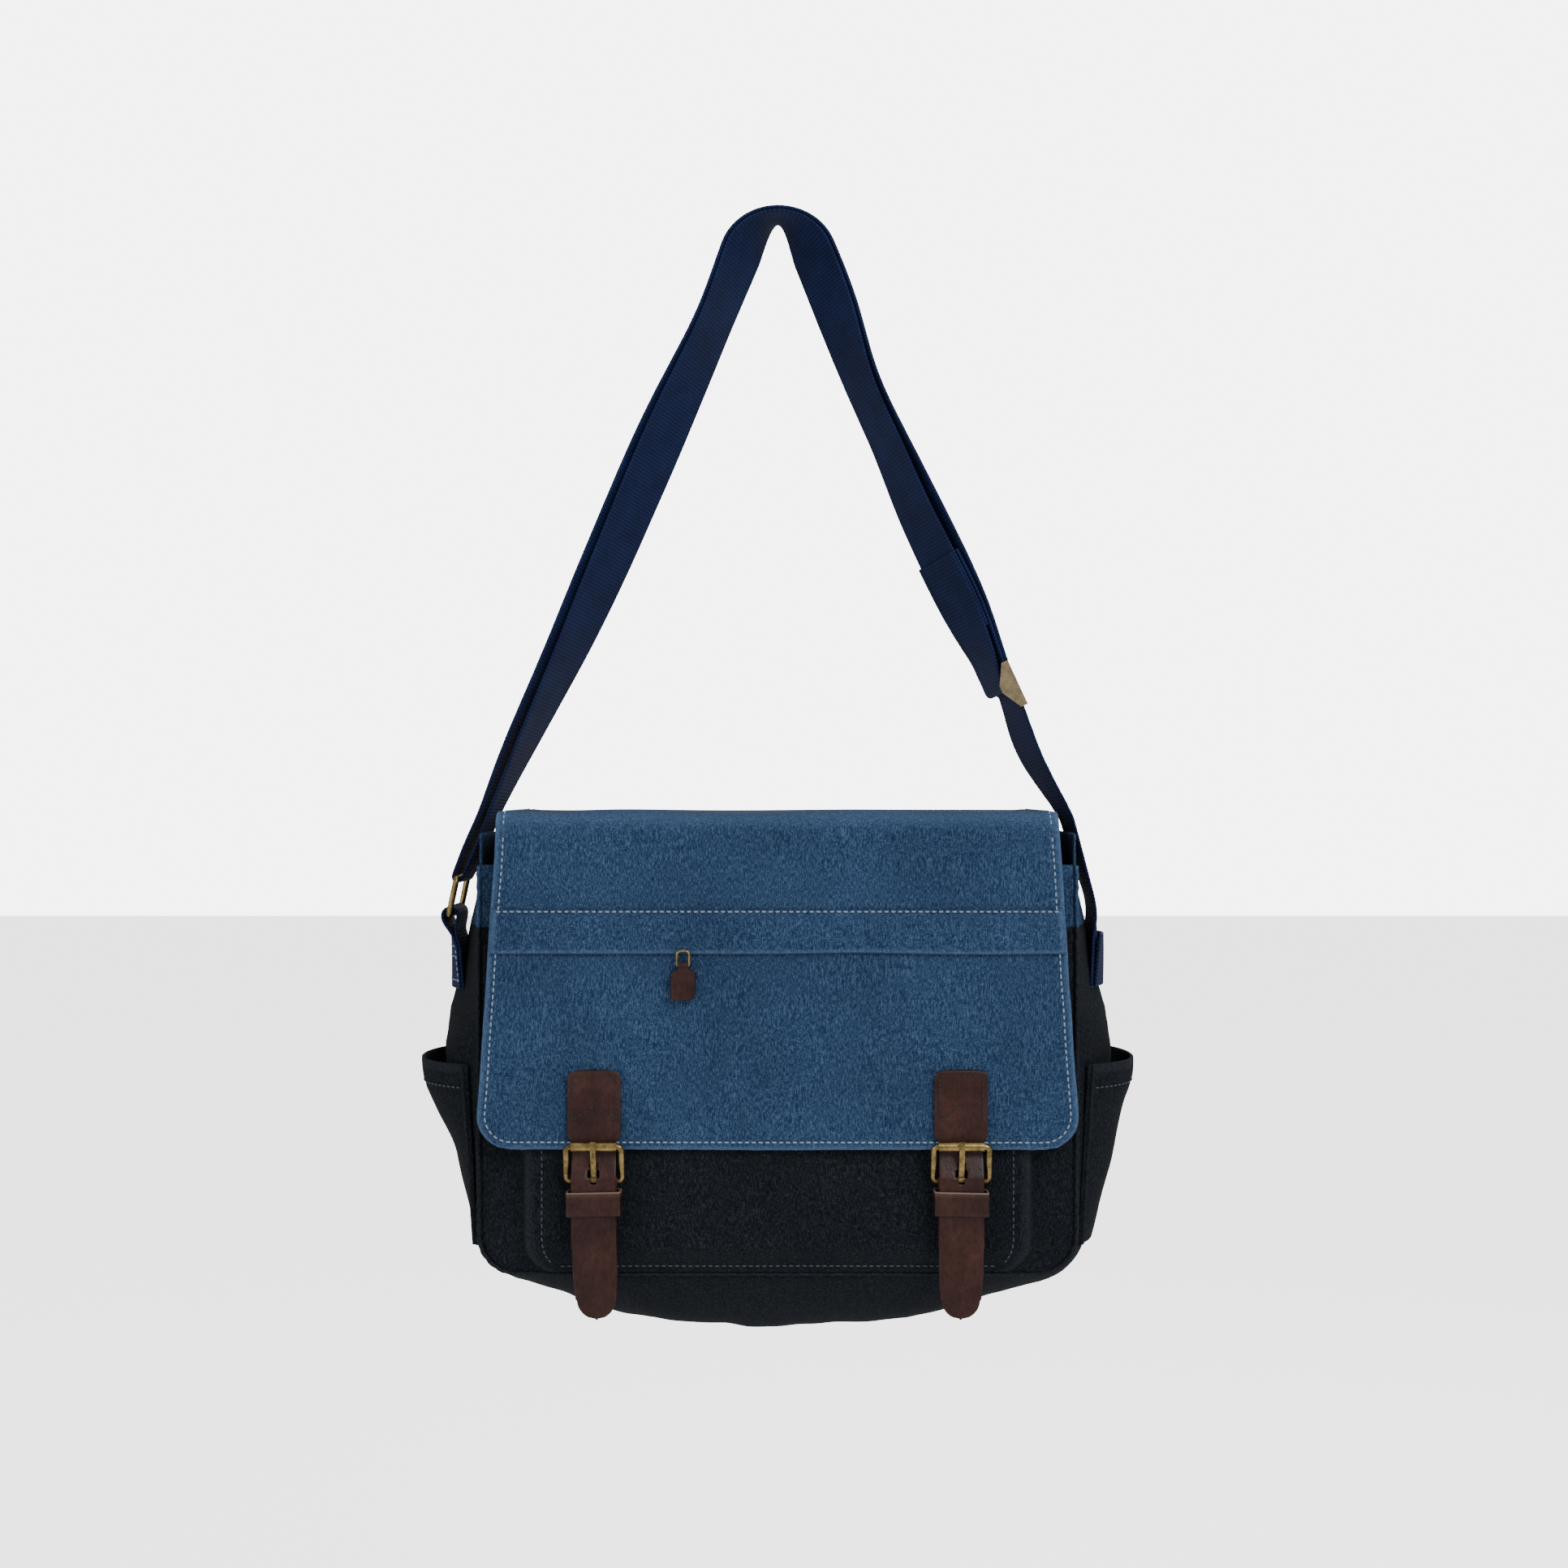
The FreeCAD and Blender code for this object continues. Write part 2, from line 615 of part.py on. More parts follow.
DROP_START = "$flap_top_drop + $fold_round + 0.9"
FRONT_PLY = "$flap_face - $flap_ply"
cloth_plate("flap_upper_panel", DROP_START, "$zip_drop - 4", "$flap_top_half", "$flap_top_half + 5",
            "0.5", FRONT_PLY, "$flap_ply")
cloth_plate("flap_lower_panel", "$zip_drop + 4", "$flap_hem_drop", "$flap_top_half + 5",
            "$flap_low_half", "$flap_round", FRONT_PLY, "$flap_ply")
cloth_plate("flap_lining", DROP_START, "$flap_hem_drop", "$flap_top_half", "$flap_low_half",
            "$flap_round", "$lining_face", "1")
cloth_plate("flap_placket", "$placket_seam_drop", "$placket_drop", "$flap_top_half + 3.5",
            "$flap_top_half + 5", "0.5", "$flap_face + 1.2", "$flap_ply")
cloth_plate("placket_fold", "$placket_seam_drop", "$placket_seam_drop + 6", "$flap_top_half + 3.5",
            "$flap_top_half + 4", "0.5", "$flap_face", "1.2")


def front_box(label, half_length, top, height, inner, thick):
    """A thin straight strip on the flap, this far in front of the middle plane."""
    box = add("Part::Box", label + "_box")
    bind(box, Length=f"2 * ({half_length})", Width=thick, Height=height)
    bind(box, Placement__Base__x=f"-({half_length})")
    bind(box, Placement__Base__y=f"-({inner}) - ({thick})")
    bind(box, Placement__Base__z=f"-({top}) - ({height})")
    return keep(box, label)


front_box("zip_tape", "$zip_half_length", "$zip_drop - 11", "22", "$flap_face - 2", "0.8")
front_box("zip_coil", "$zip_half_length - 4", "$zip_drop - 2", "4", "$flap_face - 1.2", "1.2")
front_box("zip_slider", "5", "$zip_drop - 3.4", "6.8", "$flap_face + 0.1", "1")

ZIP_Z = -size("zip_drop")
PULL_X = -53.0
doc.getObject("zip_slider_box").setExpression("Placement.Base.x", f"{PULL_X} - 5")
PULL_PIN_Z = ZIP_Z - 6.0


def zip_link():
    """The small wire link between the zip slider and its leather pull."""
    link = wire_frame(7.0, 9.0, 2.4, 0.7)
    link.rotate(Vector(0, 0, 0), Vector(1, 0, 0), 90)
    link.translate(Vector(PULL_X, -FACE - 3.9, PULL_PIN_Z - 2.5))
    return link


def zip_pull_leather():
    """A leather strip folded through the wire link on a narrow neck, with two wide faces below."""
    centre = -FACE - 3.9
    low = PULL_PIN_Z - 6.3
    points = [
        (centre + 2.0, low - 19.0),
        (centre + 2.0, low + 2.0),
        (centre - 2.0, low + 2.0),
        (centre - 2.0, low - 19.0),
    ]
    strip = ribbon_along_x(points, [1.9, 1.9], 1.4, 5.0)
    for middle in (centre + 2.0, centre - 2.0):
        corner = Vector(-size("pull_width") / 2, middle - 0.7, low - 19.0)
        face = Part.makeBox(size("pull_width"), 1.4, 17.0, corner)
        strip = strip.fuse(face)
    strip = strip.removeSplitter()
    strip.translate(Vector(PULL_X, 0, 0))
    return strip


shaped("zip_pull_link", zip_link())
shaped("zip_pull_leather", zip_pull_leather())


# ---------------------------------------------------------------------------
# leather straps and roller buckles
# ---------------------------------------------------------------------------

HEEL_Z = -size("heel_drop")
HEEL_OUT = 1.0
ROLLER_UP = 19.5
ROLLER_OUT = 5.5
LEATHER = size("leather_thick")
CHAPE = size("chape_thick")


def out(forward, up):
    """A (y, z) point given from the flap's face outwards and from the heel bar upwards."""
    return (-FACE - forward, HEEL_Z + up)


def along_x(points, radii, thick, width, centre_x):
    """A ribbon given by (forward, up) pairs, centred on one buckle."""
    solid = ribbon_along_x([out(f, u) for f, u in points], radii, thick, width)
    solid.translate(Vector(centre_x, 0, 0))
    return solid


def billet(centre_x):
    """The leather strap: sewn tab, under the roller, over the heel bar, and a rounded tail."""
    tab_top = -size("tab_top_drop") - HEEL_Z
    tail_end = -76.0
    points = [(1.27, tab_top), (1.27, 14.5), (6.1, 2.0), (6.1, tail_end)]
    solid = along_x(points, [9.0, 9.0], LEATHER, size("tab_width"), centre_x)
    half = size("strap_leather_width") / 2
    wide = size("tab_width") / 2
    shoulder = ROLLER_UP + 5.5
    round_end = 10.5
    outline = [
        Part.LineSegment(Vector(-wide, 0, shoulder), Vector(-wide, 0, tab_top + 1)),
        Part.LineSegment(Vector(-wide, 0, tab_top + 1), Vector(wide, 0, tab_top + 1)),
        Part.LineSegment(Vector(wide, 0, tab_top + 1), Vector(wide, 0, shoulder)),
        Part.LineSegment(Vector(wide, 0, shoulder), Vector(half, 0, shoulder - 3)),
        Part.LineSegment(Vector(half, 0, shoulder - 3), Vector(half, 0, tail_end + 24)),
        Part.LineSegment(Vector(half, 0, tail_end + 24), Vector(round_end, 0, tail_end + round_end)),
        Part.Arc(Vector(round_end, 0, tail_end + round_end), Vector(0, 0, tail_end),
                 Vector(-round_end, 0, tail_end + round_end)),
        Part.LineSegment(Vector(-round_end, 0, tail_end + round_end), Vector(-half, 0, tail_end + 24)),
        Part.LineSegment(Vector(-half, 0, tail_end + 24), Vector(-half, 0, shoulder - 3)),
        Part.LineSegment(Vector(-half, 0, shoulder - 3), Vector(-wide, 0, shoulder)),
    ]
    face = Part.Face(Part.Wire([edge.toShape() for edge in outline]))
    template = face.extrude(Vector(0, 20, 0))
    template.translate(Vector(centre_x, -FACE - 15, HEEL_Z))
    slot = Part.makeBox(6.0, 20.0, 14.0, Vector(centre_x - 3, -FACE - 15, HEEL_Z - 3))
    return solid.common(template).cut(slot)


def chape(centre_x):
    """The short leather piece folded round the heel bar, which carries the snap's stud."""
    turn = WIRE + 0.2 + CHAPE / 2
    front = HEEL_OUT + turn
    back = HEEL_OUT - turn
    points = [
        (front, -42.0),
        (front, turn),
        (back, turn),
        (back, -6.0),
        (front - CHAPE - 0.1, -17.0),
        (front - CHAPE - 0.1, -42.0),
    ]
    width = size("strap_leather_width")
    solid = along_x(points, [turn - 0.01, turn - 0.01, 5.0, 5.0], CHAPE, width, centre_x)
    slot = Part.makeBox(6.0, 12.0, 14.0, Vector(centre_x - 3, -FACE - 6, HEEL_Z - 8))
    return solid.cut(slot)


def buckle_place(centre_x):
    """The buckle frame leans out from its heel bar to its roller bar."""
    lean = math.degrees(math.atan2(ROLLER_OUT - HEEL_OUT, ROLLER_UP))
    middle = Vector(centre_x, -FACE - (ROLLER_OUT + HEEL_OUT) / 2, HEEL_Z + ROLLER_UP / 2)
    return Placement(middle, Rotation(Vector(1, 0, 0), 90 + lean))


def x_tube(centre_x, place, outer, inner, length):
    """A round tube along X, centred on this buckle."""
    start = Vector(centre_x - length / 2, place[0], place[1])
    tube = Part.makeCylinder(outer, length, start, Vector(1, 0, 0))
    return tube.cut(Part.makeCylinder(inner, length, start, Vector(1, 0, 0)))


def prong(centre_x):
    """The buckle's tongue: an eye round the heel bar and a bent pin over the roller."""
    eye = x_tube(centre_x, out(HEEL_OUT, 0), 3.3, WIRE + 0.05, 4.0)
    points = [(HEEL_OUT + 1.9, 1.5), (5.6, 8.0), (9.45, 17.0), (9.45, 23.0)]
    pin = along_x(points, [6.0, 6.0], 2.0, 3.0, centre_x)
    bore = Part.makeCylinder(WIRE + 0.05, 8, Vector(centre_x - 4, *out(HEEL_OUT, 0)), Vector(1, 0, 0))
    return eye.fuse(pin).cut(bore).removeSplitter()


def keeper(label, centre_x):
    """The leather loop that holds the strap and the chape together below the buckle."""
    outer = add("Part::Box", label + "_outside")
    inner = add("Part::Box", label + "_inside")
    for box, grow in ((outer, 0.0), (inner, 1.4)):
        bind(box, Length=f"$keeper_width - {2 * grow}", Width=f"$keeper_depth - {2 * grow}")
        bind(box, Height="$keeper_height")
        bind(box, Placement__Base__y=f"-$flap_face - 9.2 + {grow}")
        bind(box, Placement__Base__z="-$heel_drop - 5.5 - $keeper_height")
        bind(box, Placement__Base__x=f"{centre_x + grow} - $keeper_width / 2")
    loop = add("Part::Cut", label + "_loop")
    loop.Base = outer
    loop.Tool = inner
    return keep(loop, label)


def snap_half(label, centre_x, inner, thick):
    """One half of the magnetic snap: a disc facing along Y."""
    disc = add("Part::Cylinder", label + "_disc")
    bind(disc, Radius="$snap_radius", Height=thick)
    disc.Placement = Placement(Vector(centre_x, 0, 0), Rotation(Vector(1, 0, 0), 90))
    bind(disc, Placement__Base__y=f"-({inner})", Placement__Base__z="-$snap_drop")
    return disc


def snap_socket(label, centre_x):
    """The magnetic half on the pocket, with a well for the stud."""
    disc = snap_half(label, centre_x, "$bag_half_depth + $pocket_depth", "3")
    well = snap_half(label + "_well", centre_x, "$bag_half_depth + $pocket_depth + 0.8", "4")
    bind(well, Radius="3.5")
    socket = add("Part::Cut", label + "_cut")
    socket.Base = disc
    socket.Tool = well
    return keep(socket, label)


def snap_stud(label, centre_x):
    """The steel half on the chape, whose stud sits in the socket's well."""
    back = HEEL_OUT + WIRE + 0.2 + CHAPE / 2 - 1.5 * CHAPE - 0.1
    disc = snap_half(label, centre_x, "$bag_half_depth + $pocket_depth + 3.3", "1")
    reach = size("flap_face") + back - size("bag_half_depth") - size("pocket_depth") - 3.3
    bind(disc, Height=f"{reach}")
    pin = snap_half(label + "_pin", centre_x, "$bag_half_depth + $pocket_depth + 1.2", "2.4")
    bind(pin, Radius="3")
    stud = add("Part::Fuse", label + "_fuse")
    stud.Base = disc
    stud.Tool = pin
    return keep(stud, label)


for side, centre_x in (("left", -size("buckle_offset")), ("right", size("buckle_offset"))):
    shaped(side + "_leather_strap", billet(centre_x))
    shaped(side + "_chape", chape(centre_x))
    frame = wire_frame(size("frame_width"), size("frame_height"), 2.5, WIRE)
    shaped(side + "_buckle_frame", frame, buckle_place(centre_x))
    roller = x_tube(centre_x, out(ROLLER_OUT, ROLLER_UP), size("roller_dia") / 2, WIRE + 0.05,
                    size("roller_length"))
    shaped(side + "_buckle_roller", roller)
    shaped(side + "_buckle_prong", prong(centre_x))
    keeper(side + "_keeper", centre_x)
    snap_socket(side + "_snap_socket", centre_x)
    snap_stud(side + "_snap_stud", centre_x)


# ---------------------------------------------------------------------------
# check and write
# ---------------------------------------------------------------------------

doc.recompute()
for item in doc.Objects:
    if "Invalid" in item.State or "Error" in item.State:
        raise RuntimeError(f"{item.Label} failed: {item.State}")

os.makedirs("parts", exist_ok=True)
for item in pieces:
    shape = item.Shape
    if shape.isNull() or not shape.isValid() or not shape.Solids:
        raise RuntimeError(item.Label + " has no valid solid")
    shape.exportStep(f"parts/{item.Label}.step")
    box = shape.BoundBox
    print(f"{item.Label:22s} volume {shape.Volume:10.1f}  solids {len(shape.Solids)}"
          f"  z {box.ZMin:.1f} to {box.ZMax:.1f}")
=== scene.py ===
"""Looks of the messenger bag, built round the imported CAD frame. Metres, +Z up, the front faces -Y."""
import json
import math

import bmesh
import bpy
import numpy as np
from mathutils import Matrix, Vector, noise


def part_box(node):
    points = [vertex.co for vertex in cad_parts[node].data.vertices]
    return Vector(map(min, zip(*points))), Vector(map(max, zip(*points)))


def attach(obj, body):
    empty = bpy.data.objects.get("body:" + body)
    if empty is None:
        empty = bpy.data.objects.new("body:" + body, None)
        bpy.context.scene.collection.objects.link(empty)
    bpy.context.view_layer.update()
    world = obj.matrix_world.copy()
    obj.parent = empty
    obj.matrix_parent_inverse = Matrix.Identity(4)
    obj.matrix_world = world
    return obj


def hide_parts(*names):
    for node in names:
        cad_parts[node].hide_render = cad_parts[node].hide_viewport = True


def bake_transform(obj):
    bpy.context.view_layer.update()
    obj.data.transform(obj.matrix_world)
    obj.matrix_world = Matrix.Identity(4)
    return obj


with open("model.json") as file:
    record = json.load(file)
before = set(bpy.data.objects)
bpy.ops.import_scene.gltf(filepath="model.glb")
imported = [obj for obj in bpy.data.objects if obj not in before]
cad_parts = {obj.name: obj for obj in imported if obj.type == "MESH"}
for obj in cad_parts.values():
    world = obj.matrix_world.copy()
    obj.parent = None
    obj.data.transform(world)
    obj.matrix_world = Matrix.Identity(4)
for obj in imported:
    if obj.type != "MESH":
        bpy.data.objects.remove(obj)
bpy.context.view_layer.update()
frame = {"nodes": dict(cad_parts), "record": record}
NODES = frame["nodes"]

# ---------------------------------------------------------------------------
# sizes, read from the frame where a node gives them
# ---------------------------------------------------------------------------

MM = 0.001
PANEL_LOW, PANEL_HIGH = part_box("front_panel")
BACK_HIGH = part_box("back_panel")[1]
POCKET_LOW, POCKET_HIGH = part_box("front_pocket")
COVER_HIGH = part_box("flap_cover")[1]
DROP_LOW, DROP_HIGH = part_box("flap_lower_panel")
PLACKET_LOW, PLACKET_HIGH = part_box("flap_placket")

CLOTH = 1.6 * MM
# height of the gusset's upper ends, from which distances down the seam are counted
MOUTH_Z = -0.362
HALF_WIDTH = PANEL_HIGH[0] + CLOTH
HALF_DEPTH = -PANEL_LOW[1]
SEAM_Z = PANEL_LOW[2] - CLOTH
CORNER = 22 * MM
FLAP_FACE = DROP_LOW[1]
HEM_Z = DROP_LOW[2]
COVER_Z = COVER_HIGH[2]
FOLD_ROUND = 9.8 * MM
COVER_HALF = COVER_HIGH[0]
FOLD_HALF = 158 * MM
HEM_HALF = DROP_HIGH[0]


# ---------------------------------------------------------------------------
# mesh helpers
# ---------------------------------------------------------------------------

def tidy_mesh(mesh, doomed=None):
    """Cut a hole through a sheet if asked to, and turn every face outwards."""
    work = bmesh.new()
    work.from_mesh(mesh)
    if doomed:
        cut = [face for face in work.faces if doomed(face.calc_center_median())]
        bmesh.ops.delete(work, geom=cut, context="FACES")
        bmesh.ops.bridge_loops(work, edges=[edge for edge in work.edges if edge.is_boundary])
    bmesh.ops.recalc_face_normals(work, faces=work.faces)
    work.to_mesh(mesh)
    work.free()


def new_object(name, vertices, faces, smooth=True):
    """A mesh object from lists of points and faces."""
    mesh = bpy.data.meshes.new(name)
    mesh.from_pydata([tuple(p) for p in vertices], [], [tuple(f) for f in faces])
    mesh.validate()
    tidy_mesh(mesh)
    mesh.polygons.foreach_set("use_smooth", [smooth] * len(mesh.polygons))
    mesh.update()
    piece = bpy.data.objects.new(name, mesh)
    bpy.context.scene.collection.objects.link(piece)
    return piece


def surface_normals(points):
    """Unit normals of a grid of points, by its two directions."""
    across = np.gradient(points, axis=1)
    along = np.gradient(points, axis=0)
    normal = np.cross(across, along)
    return normal / np.maximum(np.linalg.norm(normal, axis=2, keepdims=True), 1e-12)


def rim_cells(rows, columns):
    """The cells round the edge of a grid, in order."""
    rim = [(0, c) for c in range(columns)]
    rim += [(r, columns - 1) for r in range(1, rows)]
    rim += [(rows - 1, c) for c in range(columns - 2, -1, -1)]
    rim += [(r, 0) for r in range(rows - 2, 0, -1)]
    return rim


def sheet_values(grid):
    """A value for each vertex of a sheet_mesh from its value on the grid."""
    rim = [grid[r, c] for r, c in rim_cells(*grid.shape)]
    return np.concatenate([grid.reshape(-1), grid.reshape(-1), np.array(rim)])


def sheet_mesh(name, points, thick, flip=False):
    """A closed sheet: the grid of points is its outer face, and its edges are rounded off."""
    rows, columns = points.shape[:2]
    normal = surface_normals(points)
    if flip:
        normal = -normal
    outer = points
    middle = points - normal * thick / 2
    inner = points - normal * thick
    # the rim between the faces stands out a little, so the edge reads as a turned hem
    rim = rim_cells(rows, columns)
    count = rows * columns
    vertices = np.concatenate([outer.reshape(-1, 3), inner.reshape(-1, 3)])
    edge = []
    for r, c in rim:
        inside = points[min(max(r, 1), rows - 2), min(max(c, 1), columns - 2)]
        away = points[r, c] - inside
        away = away / max(np.linalg.norm(away), 1e-9)
        edge.append(middle[r, c] + away * thick * 0.35)
    vertices = np.concatenate([vertices, np.array(edge)])
    faces = []
    for r in range(rows - 1):
        for c in range(columns - 1):
            a = r * columns + c
            quad = (a, a + 1, a + columns + 1, a + columns)
            faces.append(quad if not flip else quad[::-1])
            back = tuple(i + count for i in quad)
            faces.append(back[::-1] if not flip else back)
    for i, (r, c) in enumerate(rim):
        j = (i + 1) % len(rim)
        a = r * columns + c
        b = rim[j][0] * columns + rim[j][1]
        top = (b, a, 2 * count + i, 2 * count + j)
        low = (2 * count + j, 2 * count + i, a + count, b + count)
        faces.append(top if not flip else top[::-1])
        faces.append(low if not flip else low[::-1])
    return new_object(name, vertices, faces)


def wobble(x, y, z=0.0, scale=20.0, seed=0.0):
    """Smooth noise between -1 and 1 at a place."""
    return noise.noise(Vector((x * scale + seed, y * scale + 3.1 * seed, z * scale)))


wobble_at = np.vectorize(wobble)


def smooth_step(value, low, high):
    """0 below low, 1 above high and a smooth rise between."""
    t = np.clip((value - low) / (high - low), 0, 1)
    return t * t * (3 - 2 * t)


def smooth_curve(stations, values, where):
    """A smooth curve through a few stations, read at other places."""
    fine = np.interp(where, stations, values)
    span = (stations[-1] - stations[0]) / 40
    shifted = [np.interp(np.clip(where + k * span, stations[0], stations[-1]), stations, values)
               for k in (-2, -1, 1, 2)]
    return (fine * 2 + sum(shifted)) / 6


def tube_mesh(name, path, radius, sides=8):
    """A round tube along a list of points, closed at its ends."""
    path = np.array(path, float)
    tangent = np.gradient(path, axis=0)
    tangent /= np.maximum(np.linalg.norm(tangent, axis=1, keepdims=True), 1e-12)
    side = np.cross(tangent[0], (0.3, 0.5, 0.81))
    vertices = []
    for point, direction in zip(path, tangent):
        side = side - direction * side.dot(direction)
        side /= np.linalg.norm(side)
        other = np.cross(direction, side)
        for k in range(sides):
            turn = 2 * math.pi * k / sides
            vertices.append(point + radius * (math.cos(turn) * side + math.sin(turn) * other))
    faces = []
    for i in range(len(path) - 1):
        for k in range(sides):
            a = i * sides + k
            b = i * sides + (k + 1) % sides
            faces.append((a, b, b + sides, a + sides))
    faces.append(tuple(range(sides))[::-1])
    faces.append(tuple(range((len(path) - 1) * sides, len(path) * sides)))
    return new_object(name, vertices, faces)


def resample(path, step):
    """Points evenly spaced along a line."""
    path = np.array(path, float)
    lengths = np.concatenate([[0], np.cumsum(np.linalg.norm(np.diff(path, axis=0), axis=1))])
    count = max(2, int(lengths[-1] / step) + 1)
    at = np.linspace(0, lengths[-1], count)
    return np.stack([np.interp(at, lengths, path[:, k]) for k in range(3)], axis=1)


def stitches(name, lines, out_of, pitch=3.8 * MM, length=2.5 * MM, radius=0.42 * MM):
    """Rows of thread: one small sunk capsule for each stitch.

    lines is a list of point lists that lie on the cloth, and out_of gives the outward
    direction, either one vector or one for each line.
    """
    vertices, faces = [], []
    profile = [(-0.5, 0.0), (-0.46, 0.6), (-0.3, 0.95), (0.0, 1.0), (0.3, 0.95), (0.46, 0.6), (0.5, 0.0)]
    sides = 6
    directions = out_of if isinstance(out_of, list) else [out_of] * len(lines)
    for line, outward in zip(lines, directions):
        points = resample(line, pitch)
        outward = np.array(outward, float)
        for start, finish in zip(points[:-1], points[1:]):
            run = finish - start
            reach = np.linalg.norm(run)
            if reach < 1e-6:
                continue
            run = run / reach
            up = outward - run * outward.dot(run)
            up /= np.linalg.norm(up)
            side = np.cross(run, up)
            centre = (start + finish) / 2 + up * radius * 0.25
            base = len(vertices)
            for place, size in profile[1:-1]:
                for k in range(sides):
                    turn = 2 * math.pi * k / sides
                    ring = radius * size * (math.cos(turn) * side + math.sin(turn) * up)
                    vertices.append(centre + run * place * length + ring)
            rings = len(profile) - 2
            first = len(vertices)
            vertices.append(centre - run * 0.5 * length)
            vertices.append(centre + run * 0.5 * length)
            for i in range(rings - 1):
                for k in range(sides):
                    a = base + i * sides + k
                    b = base + i * sides + (k + 1) % sides
                    faces.append((a, b, b + sides, a + sides))
            last = base + (rings - 1) * sides
            for k in range(sides):
                faces.append((first, base + (k + 1) % sides, base + k))
                faces.append((first + 1, last + k, last + (k + 1) % sides))
    return new_object(name, vertices, faces)


def set_attribute(piece, name, values):
    """A number for each vertex, which the materials read; one number stands for all of them."""
    attribute = piece.data.attributes.new(name, "FLOAT", "POINT")
    values = np.broadcast_to(np.asarray(values, np.float32), (len(piece.data.vertices),))
    attribute.data.foreach_set("value", np.ascontiguousarray(values))


def cut_hole(piece, doomed):
    """Cut a hole through a sheet where doomed says so, and keep the sheet smooth."""
    tidy_mesh(piece.data, doomed)
    piece.data.polygons.foreach_set("use_smooth", [True] * len(piece.data.polygons))


def finish_piece(piece, material, body, slot, *replaced):
    """Material, body and the CAD nodes that a piece stands for; slot is not used."""
    piece.data.materials.append(material)
    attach(piece, body)
    if replaced:
        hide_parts(*replaced)
    return piece


# ---------------------------------------------------------------------------
# materials
# ---------------------------------------------------------------------------

def node_material(name, roughness, metallic=0.0, sheen=0.0):
    """A material, its node tree and its shader."""
    material = bpy.data.materials.new(name)
    material.use_nodes = True
    tree = material.node_tree
    shader = tree.nodes["Principled BSDF"]
    shader.inputs["Roughness"].default_value = roughness
    shader.inputs["Metallic"].default_value = metallic
    shader.inputs["Sheen Weight"].default_value = sheen
    shader.inputs["Sheen Roughness"].default_value = 0.5
    return material, tree, shader


def add_node(tree, kind, settings=None, **sockets):
    """A node with its settings and its socket values or links."""
    item = tree.nodes.new(kind)
    for key, value in (settings or {}).items():
        setattr(item, key, value)
    for key, value in sockets.items():
        socket = item.inputs[key]
        if isinstance(value, bpy.types.NodeSocket):
            tree.links.new(value, socket)
        else:
            socket.default_value = value
    return item


def object_place(tree, stretch=(1, 1, 1)):
    """Object coordinates, stretched along each axis."""
    place = add_node(tree, "ShaderNodeTexCoord")
    mapping = add_node(tree, "ShaderNodeMapping", Vector=place.outputs["Object"])
    mapping.inputs["Scale"].default_value = stretch
    return mapping.outputs["Vector"]


def noise_value(tree, stretch, scale=1.0, detail=3.0, rough=0.5):
    """A noise texture's value over stretched object coordinates."""
    item = add_node(tree, "ShaderNodeTexNoise", Vector=object_place(tree, stretch), Scale=scale,
                    Detail=detail, Roughness=rough)
    return item.outputs["Fac"]


def ramp(tree, value, stops):
    """A colour ramp; stops are (place, colour) pairs."""
    item = add_node(tree, "ShaderNodeValToRGB", Fac=value)
    elements = item.color_ramp.elements
    while len(elements) < len(stops):
        elements.new(0.5)
    for element, (place, colour) in zip(elements, stops):
        element.position = place
        element.color = (*colour, 1)
    return item.outputs["Color"]


def mix_colour(tree, fac, low, high, kind="MIX"):
    """Mix two colours or colour links."""
    item = add_node(tree, "ShaderNodeMix", {"data_type": "RGBA", "blend_type": kind})
    for socket, value in ((item.inputs[0], fac), (item.inputs[6], low), (item.inputs[7], high)):
        if isinstance(value, bpy.types.NodeSocket):
            tree.links.new(value, socket)
        else:
            socket.default_value = value if isinstance(value, float) else (*value, 1)
    return item.outputs[2]


def attribute_value(tree, name):
    """The value of a mesh attribute."""
    return add_node(tree, "ShaderNodeAttribute", {"attribute_name": name}).outputs["Fac"]


def map_range(tree, value, low, high):
    """A value between 0 and 1, carried to the range from low to high."""
    item = add_node(tree, "ShaderNodeMapRange", Value=value)
    item.inputs["To Min"].default_value = low
    item.inputs["To Max"].default_value = high
    return item.outputs["Result"]


def weighted_sum(tree, first, first_weight, second, second_weight):
    """Two values, each times its weight, added up."""
    return combine(tree, "ADD", combine(tree, "MULTIPLY", first, first_weight),
                   combine(tree, "MULTIPLY", second, second_weight))


def combine(tree, operation, first, second):
    """A math node."""
    item = add_node(tree, "ShaderNodeMath", {"operation": operation})
    for socket, value in zip(item.inputs, (first, second)):
        if isinstance(value, bpy.types.NodeSocket):
            tree.links.new(value, socket)
        else:
            socket.default_value = value
    return item.outputs["Value"]


def wave(tree, stretch, scale, distortion=0.0, direction="X"):
    """Parallel ribs."""
    settings = {"wave_type": "BANDS", "bands_direction": direction, "wave_profile": "SIN"}
    item = add_node(tree, "ShaderNodeTexWave", settings, Vector=object_place(tree, stretch),
                    Scale=scale, Distortion=distortion, Detail=1.0)
    return item.outputs["Fac"]


def add_bump(tree, shader, height, distance, strength=0.6):
    """Bump from a height value, in metres."""
    bump = add_node(tree, "ShaderNodeBump", Height=height, Distance=distance, Strength=strength)
    tree.links.new(bump.outputs["Normal"], shader.inputs["Normal"])


